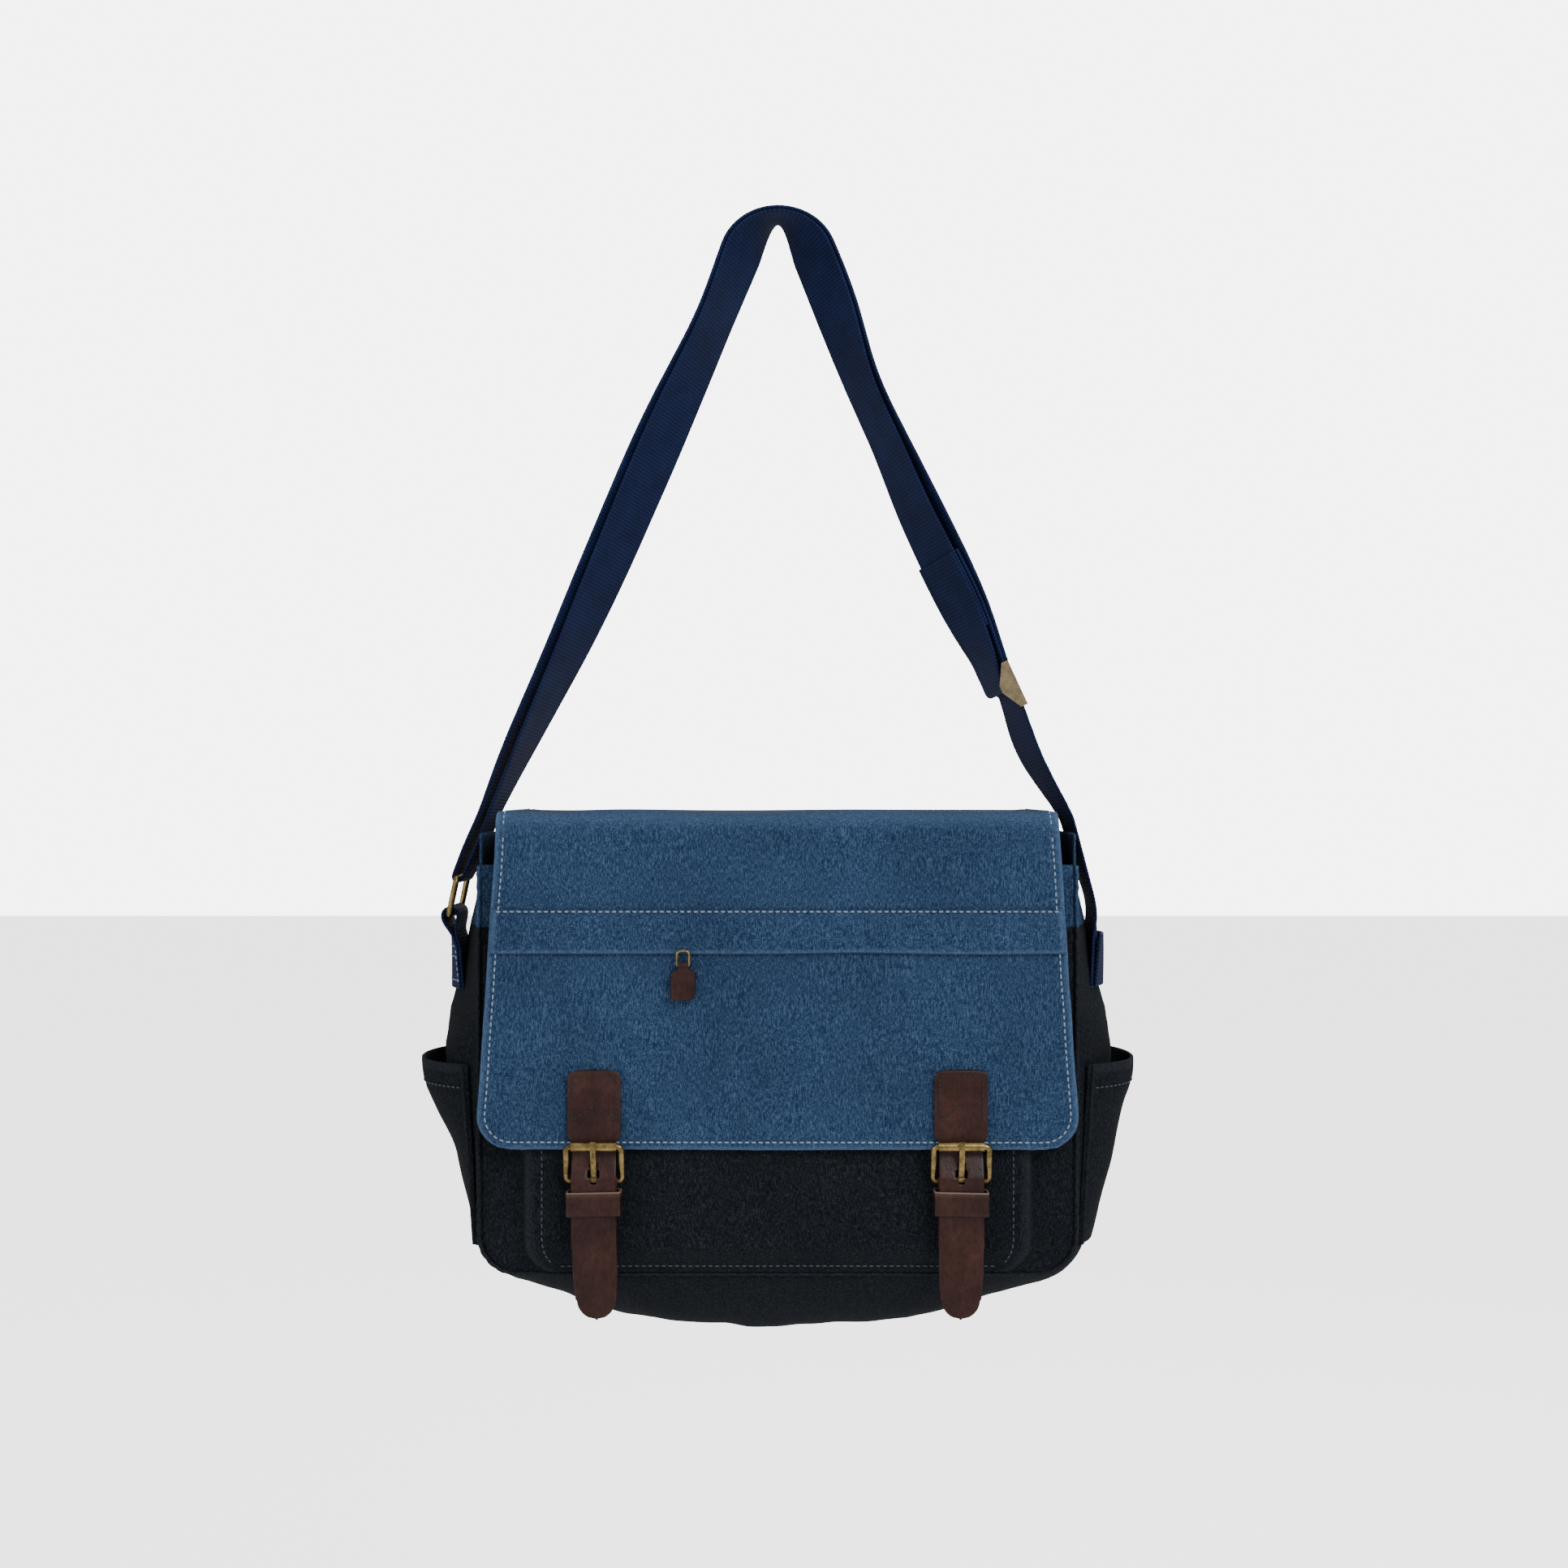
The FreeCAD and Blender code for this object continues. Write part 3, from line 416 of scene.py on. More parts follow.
def canvas(name, deep, middle, light, streak, roughness=0.86):
    """Washed canvas: a plain weave, uneven yarns that run up and down, and soft wear."""
    material, tree, shader = node_material(name, roughness, sheen=0.015)
    shader.inputs["Specular IOR Level"].default_value = 0.12
    yarns = noise_value(tree, (2300, 2300, 420), detail=3.0)
    cross = noise_value(tree, (620, 620, 2300), detail=3.0)
    slubs = noise_value(tree, (2200, 2200, 150), detail=1.0)
    patches = noise_value(tree, (14, 14, 11), detail=4.0, rough=0.6)
    grain = weighted_sum(tree, yarns, 0.62, cross, 0.38)
    base = ramp(tree, grain, [(0.39, deep), (0.5, middle), (0.60, light)])
    faded = ramp(tree, patches, [(0.32, (0.80, 0.80, 0.80)), (0.68, (1.16, 1.14, 1.10))])
    base = mix_colour(tree, 1.0, base, faded, "MULTIPLY")
    strength = ramp(tree, slubs, [(0.58, (0, 0, 0)), (0.74, (streak,) * 3)])
    base = mix_colour(tree, strength, base, light)
    wear = attribute_value(tree, "wear")
    worn = combine(tree, "MULTIPLY", wear, combine(tree, "ADD", grain, 0.1))
    base = mix_colour(tree, worn, base, tuple(min(1.0, 1.5 * c + 0.01) for c in light))
    tree.links.new(base, shader.inputs["Base Color"])
    warp = wave(tree, (1, 1, 1), 520.0, 1.2, "X")
    weft = wave(tree, (1, 1, 1), 560.0, 1.2, "Z")
    weave = combine(tree, "MULTIPLY", warp, weft)
    height = combine(tree, "ADD", combine(tree, "MULTIPLY", weave, 0.6), grain)
    add_bump(tree, shader, height, 0.35 * MM, 0.55)
    return material


def webbing(name, deep, light):
    """Woven webbing: fine ribs across its length with a soft sheen."""
    material, tree, shader = node_material(name, 0.66, sheen=0.02)
    shader.inputs["Specular IOR Level"].default_value = 0.16
    along = attribute_value(tree, "along")
    across = attribute_value(tree, "across")
    ribs = combine(tree, "SINE", combine(tree, "MULTIPLY", along, 2 * math.pi / 0.0021), 0.0)
    rows = combine(tree, "SINE", combine(tree, "MULTIPLY", across, 2 * math.pi / 0.0016), 0.0)
    mottle = noise_value(tree, (60, 60, 60), detail=4.0)
    fleck = noise_value(tree, (1300, 1300, 1300), detail=1.0)
    tone = combine(tree, "ADD", weighted_sum(tree, ribs, 0.16, rows, 0.10),
                   weighted_sum(tree, mottle, 0.5, fleck, 0.5))
    base = ramp(tree, tone, [(0.28, deep), (0.74, light)])
    tree.links.new(base, shader.inputs["Base Color"])
    add_bump(tree, shader, weighted_sum(tree, ribs, 0.5, rows, 0.25), 0.18 * MM, 0.9)
    return material


def leather(name, deep, middle, light):
    """Waxed leather: fine pores, creases, darker hollows and a soft uneven sheen."""
    material, tree, shader = node_material(name, 0.40)
    shader.inputs["Specular IOR Level"].default_value = 0.34
    cloud = noise_value(tree, (55, 55, 40), detail=6.0, rough=0.62)
    cells = add_node(tree, "ShaderNodeTexVoronoi", Vector=object_place(tree), Scale=1150.0)
    pores = cells.outputs["Distance"]
    crease = noise_value(tree, (420, 420, 260), detail=5.0, rough=0.7)
    base = ramp(tree, cloud, [(0.3, deep), (0.52, middle), (0.75, light)])
    dark = ramp(tree, crease, [(0.38, (0.62, 0.6, 0.6)), (0.55, (1.0, 1.0, 1.0))])
    base = mix_colour(tree, 1.0, base, dark, "MULTIPLY")
    wear = attribute_value(tree, "wear")
    base = mix_colour(tree, combine(tree, "MULTIPLY", wear, 0.55), base, deep)
    # pale cut-edge colour; on the keepers' top rims it is a painted highlight
    raw_edge_and_highlight = attribute_value(tree, "raw_edge_and_highlight")
    base = mix_colour(tree, raw_edge_and_highlight, base, (0.30, 0.19, 0.15))
    tree.links.new(base, shader.inputs["Base Color"])
    tree.links.new(map_range(tree, cloud, 0.30, 0.46), shader.inputs["Roughness"])
    height = combine(tree, "ADD", combine(tree, "MULTIPLY", pores, 0.5), crease)
    add_bump(tree, shader, height, 0.22 * MM, 0.5)
    return material


def aged_metal(name, dark, bright, roughness):
    """Cast and plated metal: tarnish in clouds, rubbed bright patches and fine scratches."""
    material, tree, shader = node_material(name, roughness, metallic=1.0)
    tarnish = noise_value(tree, (170, 170, 170), detail=6.0, rough=0.68)
    speck = noise_value(tree, (900, 900, 900), detail=3.0)
    mixed = weighted_sum(tree, tarnish, 0.7, speck, 0.3)
    base = ramp(tree, mixed, [(0.34, dark), (0.6, bright)])
    tree.links.new(base, shader.inputs["Base Color"])
    gloss = map_range(tree, mixed, roughness + 0.12, max(0.1, roughness - 0.14))
    tree.links.new(gloss, shader.inputs["Roughness"])
    add_bump(tree, shader, mixed, 0.12 * MM, 0.35)
    return material


def thread(name, colour):
    """Twisted sewing thread."""
    material, tree, shader = node_material(name, 0.7, sheen=0.2)
    twist = noise_value(tree, (2500, 2500, 2500), detail=2.0)
    low = tuple(0.55 * c for c in colour)
    tree.links.new(ramp(tree, twist, [(0.35, low), (0.65, colour)]), shader.inputs["Base Color"])
    add_bump(tree, shader, twist, 0.1 * MM, 0.6)
    return material


BLUE = canvas("washed_blue_canvas", (0.0055, 0.021, 0.066), (0.019, 0.049, 0.114),
              (0.066, 0.122, 0.222), 0.40)
DARK = canvas("dark_canvas", (0.0016, 0.0026, 0.0046), (0.0050, 0.0074, 0.0112), (0.022, 0.028, 0.037), 0.30)
WEBBING = webbing("navy_webbing", (0.0014, 0.0044, 0.027), (0.0072, 0.0200, 0.090))
LEATHER = leather("brown_leather", (0.016, 0.0045, 0.0032), (0.043, 0.0120, 0.0086), (0.078, 0.027, 0.019))
BRASS = aged_metal("antique_brass", (0.085, 0.055, 0.022), (0.46, 0.33, 0.13), 0.34)
PALE_BRASS = aged_metal("pale_brass", (0.20, 0.15, 0.07), (0.62, 0.50, 0.30), 0.30)
STEEL = aged_metal("snap_metal", (0.22, 0.20, 0.17), (0.62, 0.60, 0.56), 0.30)
BLUE_THREAD = thread("light_blue_thread", (0.33, 0.45, 0.62))
DARK_THREAD = thread("dark_blue_thread", (0.050, 0.068, 0.110))
BROWN_THREAD = thread("brown_thread", (0.011, 0.006, 0.005))
TAPE = canvas("zip_tape_cloth", (0.003, 0.006, 0.02), (0.008, 0.014, 0.04), (0.02, 0.03, 0.07), 0.2)
COIL = thread("zip_coil_nylon", (0.02, 0.026, 0.06))

SLOT_MATERIALS = {
    "blue_canvas": BLUE,
    "dark_canvas": DARK,
    "webbing": WEBBING,
    "leather": LEATHER,
    "antique_brass": BRASS,
    "pale_brass": PALE_BRASS,
    "snap_metal": STEEL,
    "zip_tape": TAPE,
    "zip_coil": COIL,
}
for row in frame["record"]["subparts"]:
    node = NODES[row["node"]]
    for index in range(len(node.material_slots)):
        node.material_slots[index].material = SLOT_MATERIALS[row["material_slot"]]


# ---------------------------------------------------------------------------
# body: front and back panels, bowed gussets, sagging base
# ---------------------------------------------------------------------------

# distance down the seam from the mouth (m) and how far the gusset bulges there
SIDE_LENGTH = MOUTH_Z - (SEAM_Z + CORNER)
ARC_LENGTH = math.pi / 2 * CORNER
BASE_HALF = HALF_WIDTH - CORNER
AFTER_CORNER = SIDE_LENGTH + ARC_LENGTH
BULGE_AT = np.array([0, 0.020, 0.038, 0.060, 0.088, 0.102, 0.128, 0.183, 0.220,
                     SIDE_LENGTH + 0.5 * ARC_LENGTH, AFTER_CORNER + 0.012, AFTER_CORNER + 0.030,
                     AFTER_CORNER + 0.072, AFTER_CORNER + BASE_HALF])
BULGE = np.array([-1.2, 2.4, 8.2, 13.6, 16.5, 26.0, 27.0, 20.0, 11.0, 7.5, 16.0, 24.5, 37.0, 41.0]) * MM
# height of the blue cloth at the top of the gussets and the front
YOKE = 0.053
HALF_SEAM = AFTER_CORNER + BASE_HALF


def seam_point(along):
    """Place and outward direction on the seam line, for distances from the left mouth corner.

    The line runs down the left side, round the corner, along the base and up the right side.
    """
    along = np.asarray(along, float)
    mirrored = along > HALF_SEAM
    down = np.where(mirrored, 2 * HALF_SEAM - along, along)
    turn = np.clip((down - SIDE_LENGTH) / ARC_LENGTH, 0, 1) * math.pi / 2
    out_x = np.cos(turn)
    out_z = -np.sin(turn)
    x = BASE_HALF + CORNER * out_x - np.clip(down - SIDE_LENGTH - ARC_LENGTH, 0, None)
    z = np.where(down < SIDE_LENGTH, MOUTH_Z - down, SEAM_Z + CORNER + CORNER * out_z)
    sign = np.where(mirrored, 1.0, -1.0)
    return sign * x, z, sign * out_x, out_z


def gusset_points(along, depth):
    """The gusset's outer face; depth runs from -1 at the front seam to 1 at the back seam."""
    x, z, out_x, out_z = seam_point(along)
    down = np.where(along > HALF_SEAM, 2 * HALF_SEAM - along, along)
    bulge = smooth_curve(BULGE_AT, BULGE, down)
    # the left side is flatter than the right beside its pocket
    beside_pocket = smooth_step(down, 0.150, 0.185) * (1 - smooth_step(down, 0.23, 0.28))
    bulge = bulge - np.where(x < 0, 4.5 * MM, 0) * beside_pocket
    by_strap = smooth_step(down, 0.004, 0.030) * (1 - smooth_step(down, 0.094, 0.125))
    soft = 0.10
    crease = 1 - (np.sqrt(depth ** 2 + soft ** 2) - soft) / (math.sqrt(1 + soft ** 2) - soft)
    crown = crease * by_strap + (1 - np.abs(depth) ** 2.1) * (1 - by_strap)
    ripple = wobble_at(x, depth * 0.05, z, 26.0, 1.7) * 2.0 * MM
    ripple = ripple + wobble_at(x, depth * 0.04, z, 70.0, 4.2) * 0.7 * MM
    rise = bulge * crown + ripple * (1 - depth ** 4) * (1 - 0.85 * by_strap)
    return np.stack([x + out_x * rise, depth * (HALF_DEPTH - 0.4 * MM), z + out_z * rise], axis=-1)


def gusset_piece(name, start, finish, material, slot, *replaced):
    """One length of the gusset as its own cloth piece."""
    along, depth = np.meshgrid(np.linspace(start, finish, int((finish - start) / 0.0032)),
                               np.linspace(-1, 1, 41), indexing="ij")
    piece = sheet_mesh(name, gusset_points(along, depth), CLOTH)
    set_attribute(piece, "wear", 0)
    return finish_piece(piece, material, "bag", slot, *replaced)


# the base piece is sewn to the side gussets 128 mm from the middle of the base
BASE_START = HALF_SEAM - 0.128
END = 2 * HALF_SEAM
gusset_piece("left_gusset_top", 0.0, YOKE, BLUE, "blue_canvas")
gusset_piece("left_gusset_cloth", YOKE, BASE_START, DARK, "dark_canvas", "left_gusset")
gusset_piece("base_gusset_cloth", BASE_START, END - BASE_START, DARK, "dark_canvas", "base_gusset")
gusset_piece("right_gusset_cloth", END - BASE_START, END - YOKE, DARK, "dark_canvas", "right_gusset")
gusset_piece("right_gusset_top", END - YOKE, END, BLUE, "blue_canvas")


def crest_drop(sign, y, z):
    """How far the gusset has fallen away from its crest, at a depth y and a height z."""
    down = MOUTH_Z - z
    along = np.where(sign > 0, END - down, down)
    crest = gusset_points(along, np.zeros_like(y))[..., 0]
    return np.abs(crest - gusset_points(along, y / HALF_DEPTH)[..., 0])


def panel_half_width(z):
    """Half the width of a panel at a height, with its rounded lower corners."""
    below = np.clip(SEAM_Z + CORNER - z, 0, CORNER)
    return BASE_HALF + np.sqrt(np.maximum(CORNER ** 2 - below ** 2, 0))


def panel_points(rows, columns, top, bottom, front):
    """A panel's outer face: soft ripples and drag lines that run into its lower corners."""
    heights = np.linspace(top, bottom, rows)
    shares = np.linspace(-1, 1, columns)
    z, share = np.meshgrid(heights, shares, indexing="ij")
    x = share * panel_half_width(z)
    edge = (1 - np.abs(share) ** 6) * smooth_step(z - SEAM_Z, 0, 0.02)
    puff = (wobble_at(x, 0, z, 9.0, 2.0 if front else 7.0) * 3.0
            + wobble_at(x, 0, z, 30.0, 5.0) * 1.1) * MM * edge
    drag = np.sin((np.abs(x) + (z - SEAM_Z)) * 190.0) * 0.7 * MM * np.exp(-(z - SEAM_Z) / 0.05) * edge
    y = np.full_like(x, HALF_DEPTH) + puff + drag
    if front:
        y = -(np.full_like(x, HALF_DEPTH) - 0.5 * MM + 0.25 * np.minimum(puff + drag, 0))
    return np.stack([x, y, z], axis=-1)


def body_panel(name, top, bottom, front, material, slot, *replaced):
    """The front or the back panel, or one height of it."""
    rows = max(10, int((top - bottom) / 0.003))
    piece = sheet_mesh(name, panel_points(rows, 112, top, bottom, front), CLOTH, flip=front)
    set_attribute(piece, "wear", 0)
    return finish_piece(piece, material, "bag", slot, *replaced)


YOKE_Z = MOUTH_Z - YOKE
PANEL_BASE = SEAM_Z + 0.2 * MM
body_panel("front_panel_top", PANEL_HIGH[2], YOKE_Z, True, BLUE, "blue_canvas")
body_panel("front_panel_cloth", YOKE_Z, PANEL_BASE, True, DARK, "dark_canvas", "front_panel")
body_panel("back_panel_cloth", BACK_HIGH[2], PANEL_BASE, False, DARK, "dark_canvas", "back_panel")


SEAM_PUCKERS = 900
SEAM_RADIUS = 1.25 * MM


def seam_roll(name, depth, start, finish, material, slot):
    """The turned seam allowance that stands along the edge of a panel."""
    along = np.linspace(start, finish, int((finish - start) / 0.0022))
    x, z, out_x, out_z = seam_point(along)
    lift = 0.4 * MM + 0.25 * MM * np.sin(along * SEAM_PUCKERS)
    path = np.stack([x + out_x * lift, np.full_like(x, depth), z + out_z * lift], axis=-1)
    piece = tube_mesh(name, path, SEAM_RADIUS, 8)
    set_attribute(piece, "wear", 0.25)
    return finish_piece(piece, material, "bag", slot)


MOUTH = MOUTH_Z - PANEL_HIGH[2]
seam_roll("front_seam_roll", -HALF_DEPTH - 0.2 * MM, YOKE, END - YOKE, DARK, "dark_canvas")
seam_roll("left_top_seam_roll", -HALF_DEPTH - 0.2 * MM, MOUTH, YOKE, BLUE, "blue_canvas")
seam_roll("right_top_seam_roll", -HALF_DEPTH - 0.2 * MM, END - YOKE, END - MOUTH, BLUE, "blue_canvas")
seam_roll("back_seam_roll", HALF_DEPTH + 0.2 * MM, 0.0, END, DARK, "dark_canvas")


# ---------------------------------------------------------------------------
# front pocket, its side pleats and its stitched folds
# ---------------------------------------------------------------------------

POCKET_FACE = POCKET_LOW[1]
POCKET_BASE = SEAM_Z + 1.0 * MM


def pocket_points(rows=96):
    """The pocket's outer face, from gusset seam to gusset seam through both pleats."""
    face = np.linspace(-1, 1, 90)
    half = [(0.985, 0.0), (0.955, 0.10), (0.915, 0.18), (0.878, 0.24), (0.858, 0.30),
            (0.8500, 0.42), (0.8455, 0.62), (0.8420, 0.82), (0.8370, 0.95), (0.8290, 1.0)]
    sides = np.array(half)
    share = np.concatenate([-sides[:, 0], face[1:-1] * 0.820, sides[::-1, 0]])
    stand = np.concatenate([sides[:, 1], np.ones(88), sides[::-1, 1]])
    heights = np.linspace(POCKET_HIGH[2], POCKET_BASE, rows)
    z, share = np.meshgrid(heights, share, indexing="ij")
    stand = np.broadcast_to(stand, z.shape)
    x = share * panel_half_width(z)
    closing = smooth_step(z - POCKET_BASE, -0.002, 0.017)
    reach = (-POCKET_FACE - HALF_DEPTH) * (0.16 + 0.84 * closing)
    flat = 1 - np.abs(share / 0.83).clip(0, 1) ** 8
    ripple = (wobble_at(x, 0, z, 11.0, 3.0) * 1.3 + wobble_at(x, 0, z, 38.0, 9.0) * 0.75) * MM
    fold = np.sin(x * 70 + 1.0) * 0.7 * MM * np.exp(-(z - POCKET_BASE) / 0.02)
    y = -(HALF_DEPTH + 0.9 * MM + (reach - 0.9 * MM) * stand - 0.9 * MM * flat * closing)
    y = y + (ripple + fold) * flat * closing * 0.8
    pleat = np.exp(-((np.abs(share) - 0.92) / 0.04) ** 2)
    y = y + pleat * wobble_at(x, 0, z, 45.0, 12.0) * 1.4 * MM
    return np.stack([x, y, z], axis=-1)


POCKET_POINTS = pocket_points()
pocket = sheet_mesh("front_pocket_cloth", POCKET_POINTS, 1.5 * MM, flip=True)
outer_share = np.abs(POCKET_POINTS[..., 0] / panel_half_width(POCKET_POINTS[..., 2]))
fold_wear = np.exp(-((outer_share - 0.833) / 0.006) ** 2).reshape(-1)
rest = np.zeros(len(pocket.data.vertices) - 2 * fold_wear.size)
set_attribute(pocket, "wear", np.concatenate([fold_wear, fold_wear, rest]) * 0.6)
finish_piece(pocket, DARK, "bag", "dark_canvas", "front_pocket")


def grid_line(points, row=None, column=None, lift=0.0, first=0, last=None):
    """A row or a column of a grid of points, lifted towards the front."""
    line = points[row, first:last] if column is None else points[first:last, column]
    return line + np.array((0, -lift, 0))


columns = POCKET_POINTS.shape[1]
pocket_lines = [grid_line(POCKET_POINTS, column=c, lift=0.1 * MM, last=-3) for c in (11, columns - 12)]
pocket_lines.append(grid_line(POCKET_POINTS, row=-3, lift=0.3 * MM, first=12, last=columns - 12))
pocket_stitches = stitches("front_pocket_stitches", pocket_lines, (0, -1, 0))
finish_piece(pocket_stitches, DARK_THREAD, "bag", "dark_canvas")


# ---------------------------------------------------------------------------
# side pockets
# ---------------------------------------------------------------------------

SIDE_LOW, SIDE_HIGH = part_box("left_side_pocket")
SIDE_RIM = SIDE_HIGH[2]
SIDE_BASE = SIDE_LOW[2]
SIDE_HALF = SIDE_HIGH[1]


def side_pocket_points(sign, rows=56, across=61):
    """The outer face of a side pocket, flaring from its base to its rim."""
    down = np.linspace(0, 1, rows)
    share = np.linspace(-1, 1, across)
    d, s = np.meshgrid(down, share, indexing="ij")
    edge = 178.0 - 5.0 * d
    middle = 210.0 - 4.0 * smooth_step(d, 0, 0.27) - 25.0 * np.clip(d - 0.12, 0, 1) ** 1.25
    crown = 1 - np.abs(s) ** 2.2
    tilt = 3.5 * s * (1 - d)
    if sign < 0:
        middle = middle - 8.0 * smooth_step(d, 0.15, 0.55)
    x = (edge + (middle - edge) * crown + tilt * crown) * MM
    x = x + wobble_at(d * 0.1, s * 0.04, sign * 0.3, 34.0, 2.0) * 1.6 * MM * crown
    hem = np.exp(-((d - 0.135) / 0.012) ** 2)
    x = x - hem * 0.5 * MM * crown
    z = SIDE_RIM + (SIDE_BASE - SIDE_RIM) * d + (4.0 * s - 3.0 * crown) * MM * (1 - d) * 0.6
    y = s * SIDE_HALF * (1 + 0.03 * (1 - d))
    return np.stack([sign * x, y, z], axis=-1)


for sign, side in ((-1, "left"), (1, "right")):
    grid = side_pocket_points(sign)
    piece = sheet_mesh(side + "_side_pocket_cloth", grid, 1.8 * MM, flip=sign > 0)
    wear = np.zeros(len(piece.data.vertices))
    wear[:3 * grid.shape[1]] = 0.35
    set_attribute(piece, "wear", wear)
    finish_piece(piece, DARK, "bag", "dark_canvas", side + "_side_pocket")
    hem_row = int(0.135 * grid.shape[0])
    lines = [grid[hem_row, 2:-2] + np.array((sign * 0.3 * MM, 0, 0))]
    sewn = stitches(side + "_side_pocket_stitches", lines, (sign, 0, 0))
    finish_piece(sewn, DARK_THREAD, "bag", "dark_canvas")
    for edge, name in ((1, "front"), (-2, "back")):
        bind_path = grid[:, edge] + np.array((sign * 0.4 * MM, 0, 0))
        binding = tube_mesh(f"{side}_side_pocket_{name}_seam", bind_path, 1.3 * MM)
        set_attribute(binding, "wear", 0.2)
        finish_piece(binding, DARK, "bag", "dark_canvas")


# ---------------------------------------------------------------------------
# flap: one cloth from the back seam, over the top and down to the hem
# ---------------------------------------------------------------------------

FLAP_BACK_Y = HALF_DEPTH + 1.8 * MM
FLAP_TAIL_Z = BACK_HIGH[2] - 20 * MM
BACK_ROUND = 7 * MM
FLAP_ROUND = 20 * MM
BACK_RUN = COVER_Z - BACK_ROUND - FLAP_TAIL_Z
BACK_ARC = math.pi / 2 * BACK_ROUND
TOP_RUN = FLAP_BACK_Y - BACK_ROUND - (FLAP_FACE + FOLD_ROUND)
FRONT_ARC = math.pi / 2 * FOLD_ROUND
DROP_RUN = COVER_Z - FOLD_ROUND - HEM_Z
FOLD_AT = BACK_RUN + BACK_ARC + TOP_RUN + FRONT_ARC
FLAP_LENGTH = FOLD_AT + DROP_RUN


def flap_profile(along):
    """(y, z) and outward direction on the flap's middle line, from the back seam to the hem."""
    s = np.asarray(along, float)
    turn_back = np.clip((s - BACK_RUN) / BACK_ARC, 0, 1) * math.pi / 2
    turn_front = np.clip((s - BACK_RUN - BACK_ARC - TOP_RUN) / FRONT_ARC, 0, 1) * math.pi / 2
    out_y = np.where(turn_front > 0, -np.sin(turn_front), np.cos(turn_back))
    out_z = np.where(turn_front > 0, np.cos(turn_front), np.sin(turn_back))
    y = FLAP_BACK_Y - BACK_ROUND + BACK_ROUND * np.cos(turn_back)
    y = y - np.clip(s - BACK_RUN - BACK_ARC, 0, TOP_RUN) - FOLD_ROUND * np.sin(turn_front)
    z = FLAP_TAIL_Z + np.clip(s, 0, BACK_RUN) + BACK_ROUND * np.sin(turn_back)
    z = z - FOLD_ROUND * (1 - np.cos(turn_front)) - np.clip(s - FOLD_AT, 0, None)
    return y, z, out_y, out_z


def flap_half_width(along):
    """Half the flap's width, with its rounded lower corners."""
    s = np.asarray(along, float)
    width = COVER_HALF + (FOLD_HALF - COVER_HALF) * smooth_step(s, BACK_RUN, FOLD_AT)
    width = width + (HEM_HALF - FOLD_HALF) * np.clip((s - FOLD_AT) / DROP_RUN, 0, 1)
    near = np.clip(FLAP_ROUND - (FLAP_LENGTH - s), 0, FLAP_ROUND)
    return width - FLAP_ROUND + np.sqrt(np.maximum(FLAP_ROUND ** 2 - near ** 2, 0))


def flap_surface(along, share, lift=0.0):
    """A point on the flap's outer face; share runs from -1 to 1 across it."""
    y, z, out_y, out_z = flap_profile(along)
    half = flap_half_width(along)
    x = share * half
    inset = np.minimum(half - np.abs(x), FLAP_LENGTH - along)
    turned = smooth_step(inset, 0.0012, 0.004) * (1 - smooth_step(inset, 0.0055, 0.011))
    groove = np.exp(-((inset - 0.0041) / 0.0009) ** 2)
    top = smooth_step(along, BACK_RUN, BACK_RUN + 0.03)
    top = top * (1 - smooth_step(along, FOLD_AT - 0.02, FOLD_AT + 0.03))
    drop = smooth_step(along, FOLD_AT, FOLD_AT + 0.03)
    sag = wobble_at(x, 0.0, 0.0, 13.0, 6.0) * 2.2 * MM + 1.4 * MM * np.exp(-((x + 0.125) / 0.016) ** 2)
    ripple = wobble_at(x, y * 0.4, z, 12.0, 8.0) * 1.1 * MM + wobble_at(x, 0.0, z, 42.0, 5.0) * 0.5 * MM
    ripple = ripple * (0.28 + 0.72 * smooth_step(PLACKET_LOW[2] - z, 0.0, 0.03))
    pucker = wobble_at(x, y, z, 210.0, 3.0) * 0.35 * MM * (1 - smooth_step(inset, 0.004, 0.013))
    seam_at = FOLD_AT + (COVER_Z - FOLD_ROUND) - PLACKET_HIGH[2]
    seam_groove = np.exp(-((along - seam_at) / 0.0011) ** 2) * 0.4 * MM
    rise = lift + drop * (ripple + pucker) + turned * 0.45 * MM - groove * 0.4 * MM
    rise = rise - top * sag * 0.8 - seam_groove - 0.5 * MM * drop
    edge_wave = 1 + wobble_at(0.4 * np.sign(share), 0.0, z, 30.0, 11.0) * 0.004
    return np.stack([x * edge_wave, y + out_y * rise, z + out_z * rise], axis=-1)


def edge_spacing(count, half, near=0.016):
    """Shares from -1 to 1 that are closer together near both edges."""
    edge = np.linspace(0, near / half, 13)[:-1]
    middle = np.linspace(near / half, 2 - near / half, count)
    return np.concatenate([edge, middle, 2 - edge[::-1]]) - 1


FLAP_ROWS = np.concatenate([
    np.linspace(0, BACK_RUN, 8)[:-1],
    np.linspace(BACK_RUN, BACK_RUN + BACK_ARC, 9)[:-1],
    np.linspace(BACK_RUN + BACK_ARC, FOLD_AT - FRONT_ARC, 34)[:-1],
    np.linspace(FOLD_AT - FRONT_ARC, FOLD_AT, 12)[:-1],
    np.linspace(FOLD_AT, FLAP_LENGTH - 0.016, 92)[:-1],
    np.linspace(FLAP_LENGTH - 0.016, FLAP_LENGTH, 14),
])
FLAP_THICK = 1.5 * MM
rows_grid, share_grid = np.meshgrid(FLAP_ROWS, edge_spacing(118, HEM_HALF), indexing="ij")
FLAP_POINTS = flap_surface(rows_grid, share_grid)
flap = sheet_mesh("flap_cloth", FLAP_POINTS, FLAP_THICK, flip=True)
edge_gap = np.minimum(flap_half_width(rows_grid) * (1 - np.abs(share_grid)), FLAP_LENGTH - rows_grid)
flap_wear = np.exp(-(edge_gap / 0.0016) ** 2) * 0.9 + 0.25 * np.exp(-((edge_gap - 0.004) / 0.001) ** 2)
flap_wear += 0.35 * np.exp(-((rows_grid - FOLD_AT + 0.5 * FRONT_ARC) / 0.006) ** 2)
flap_wear = flap_wear.reshape(-1)
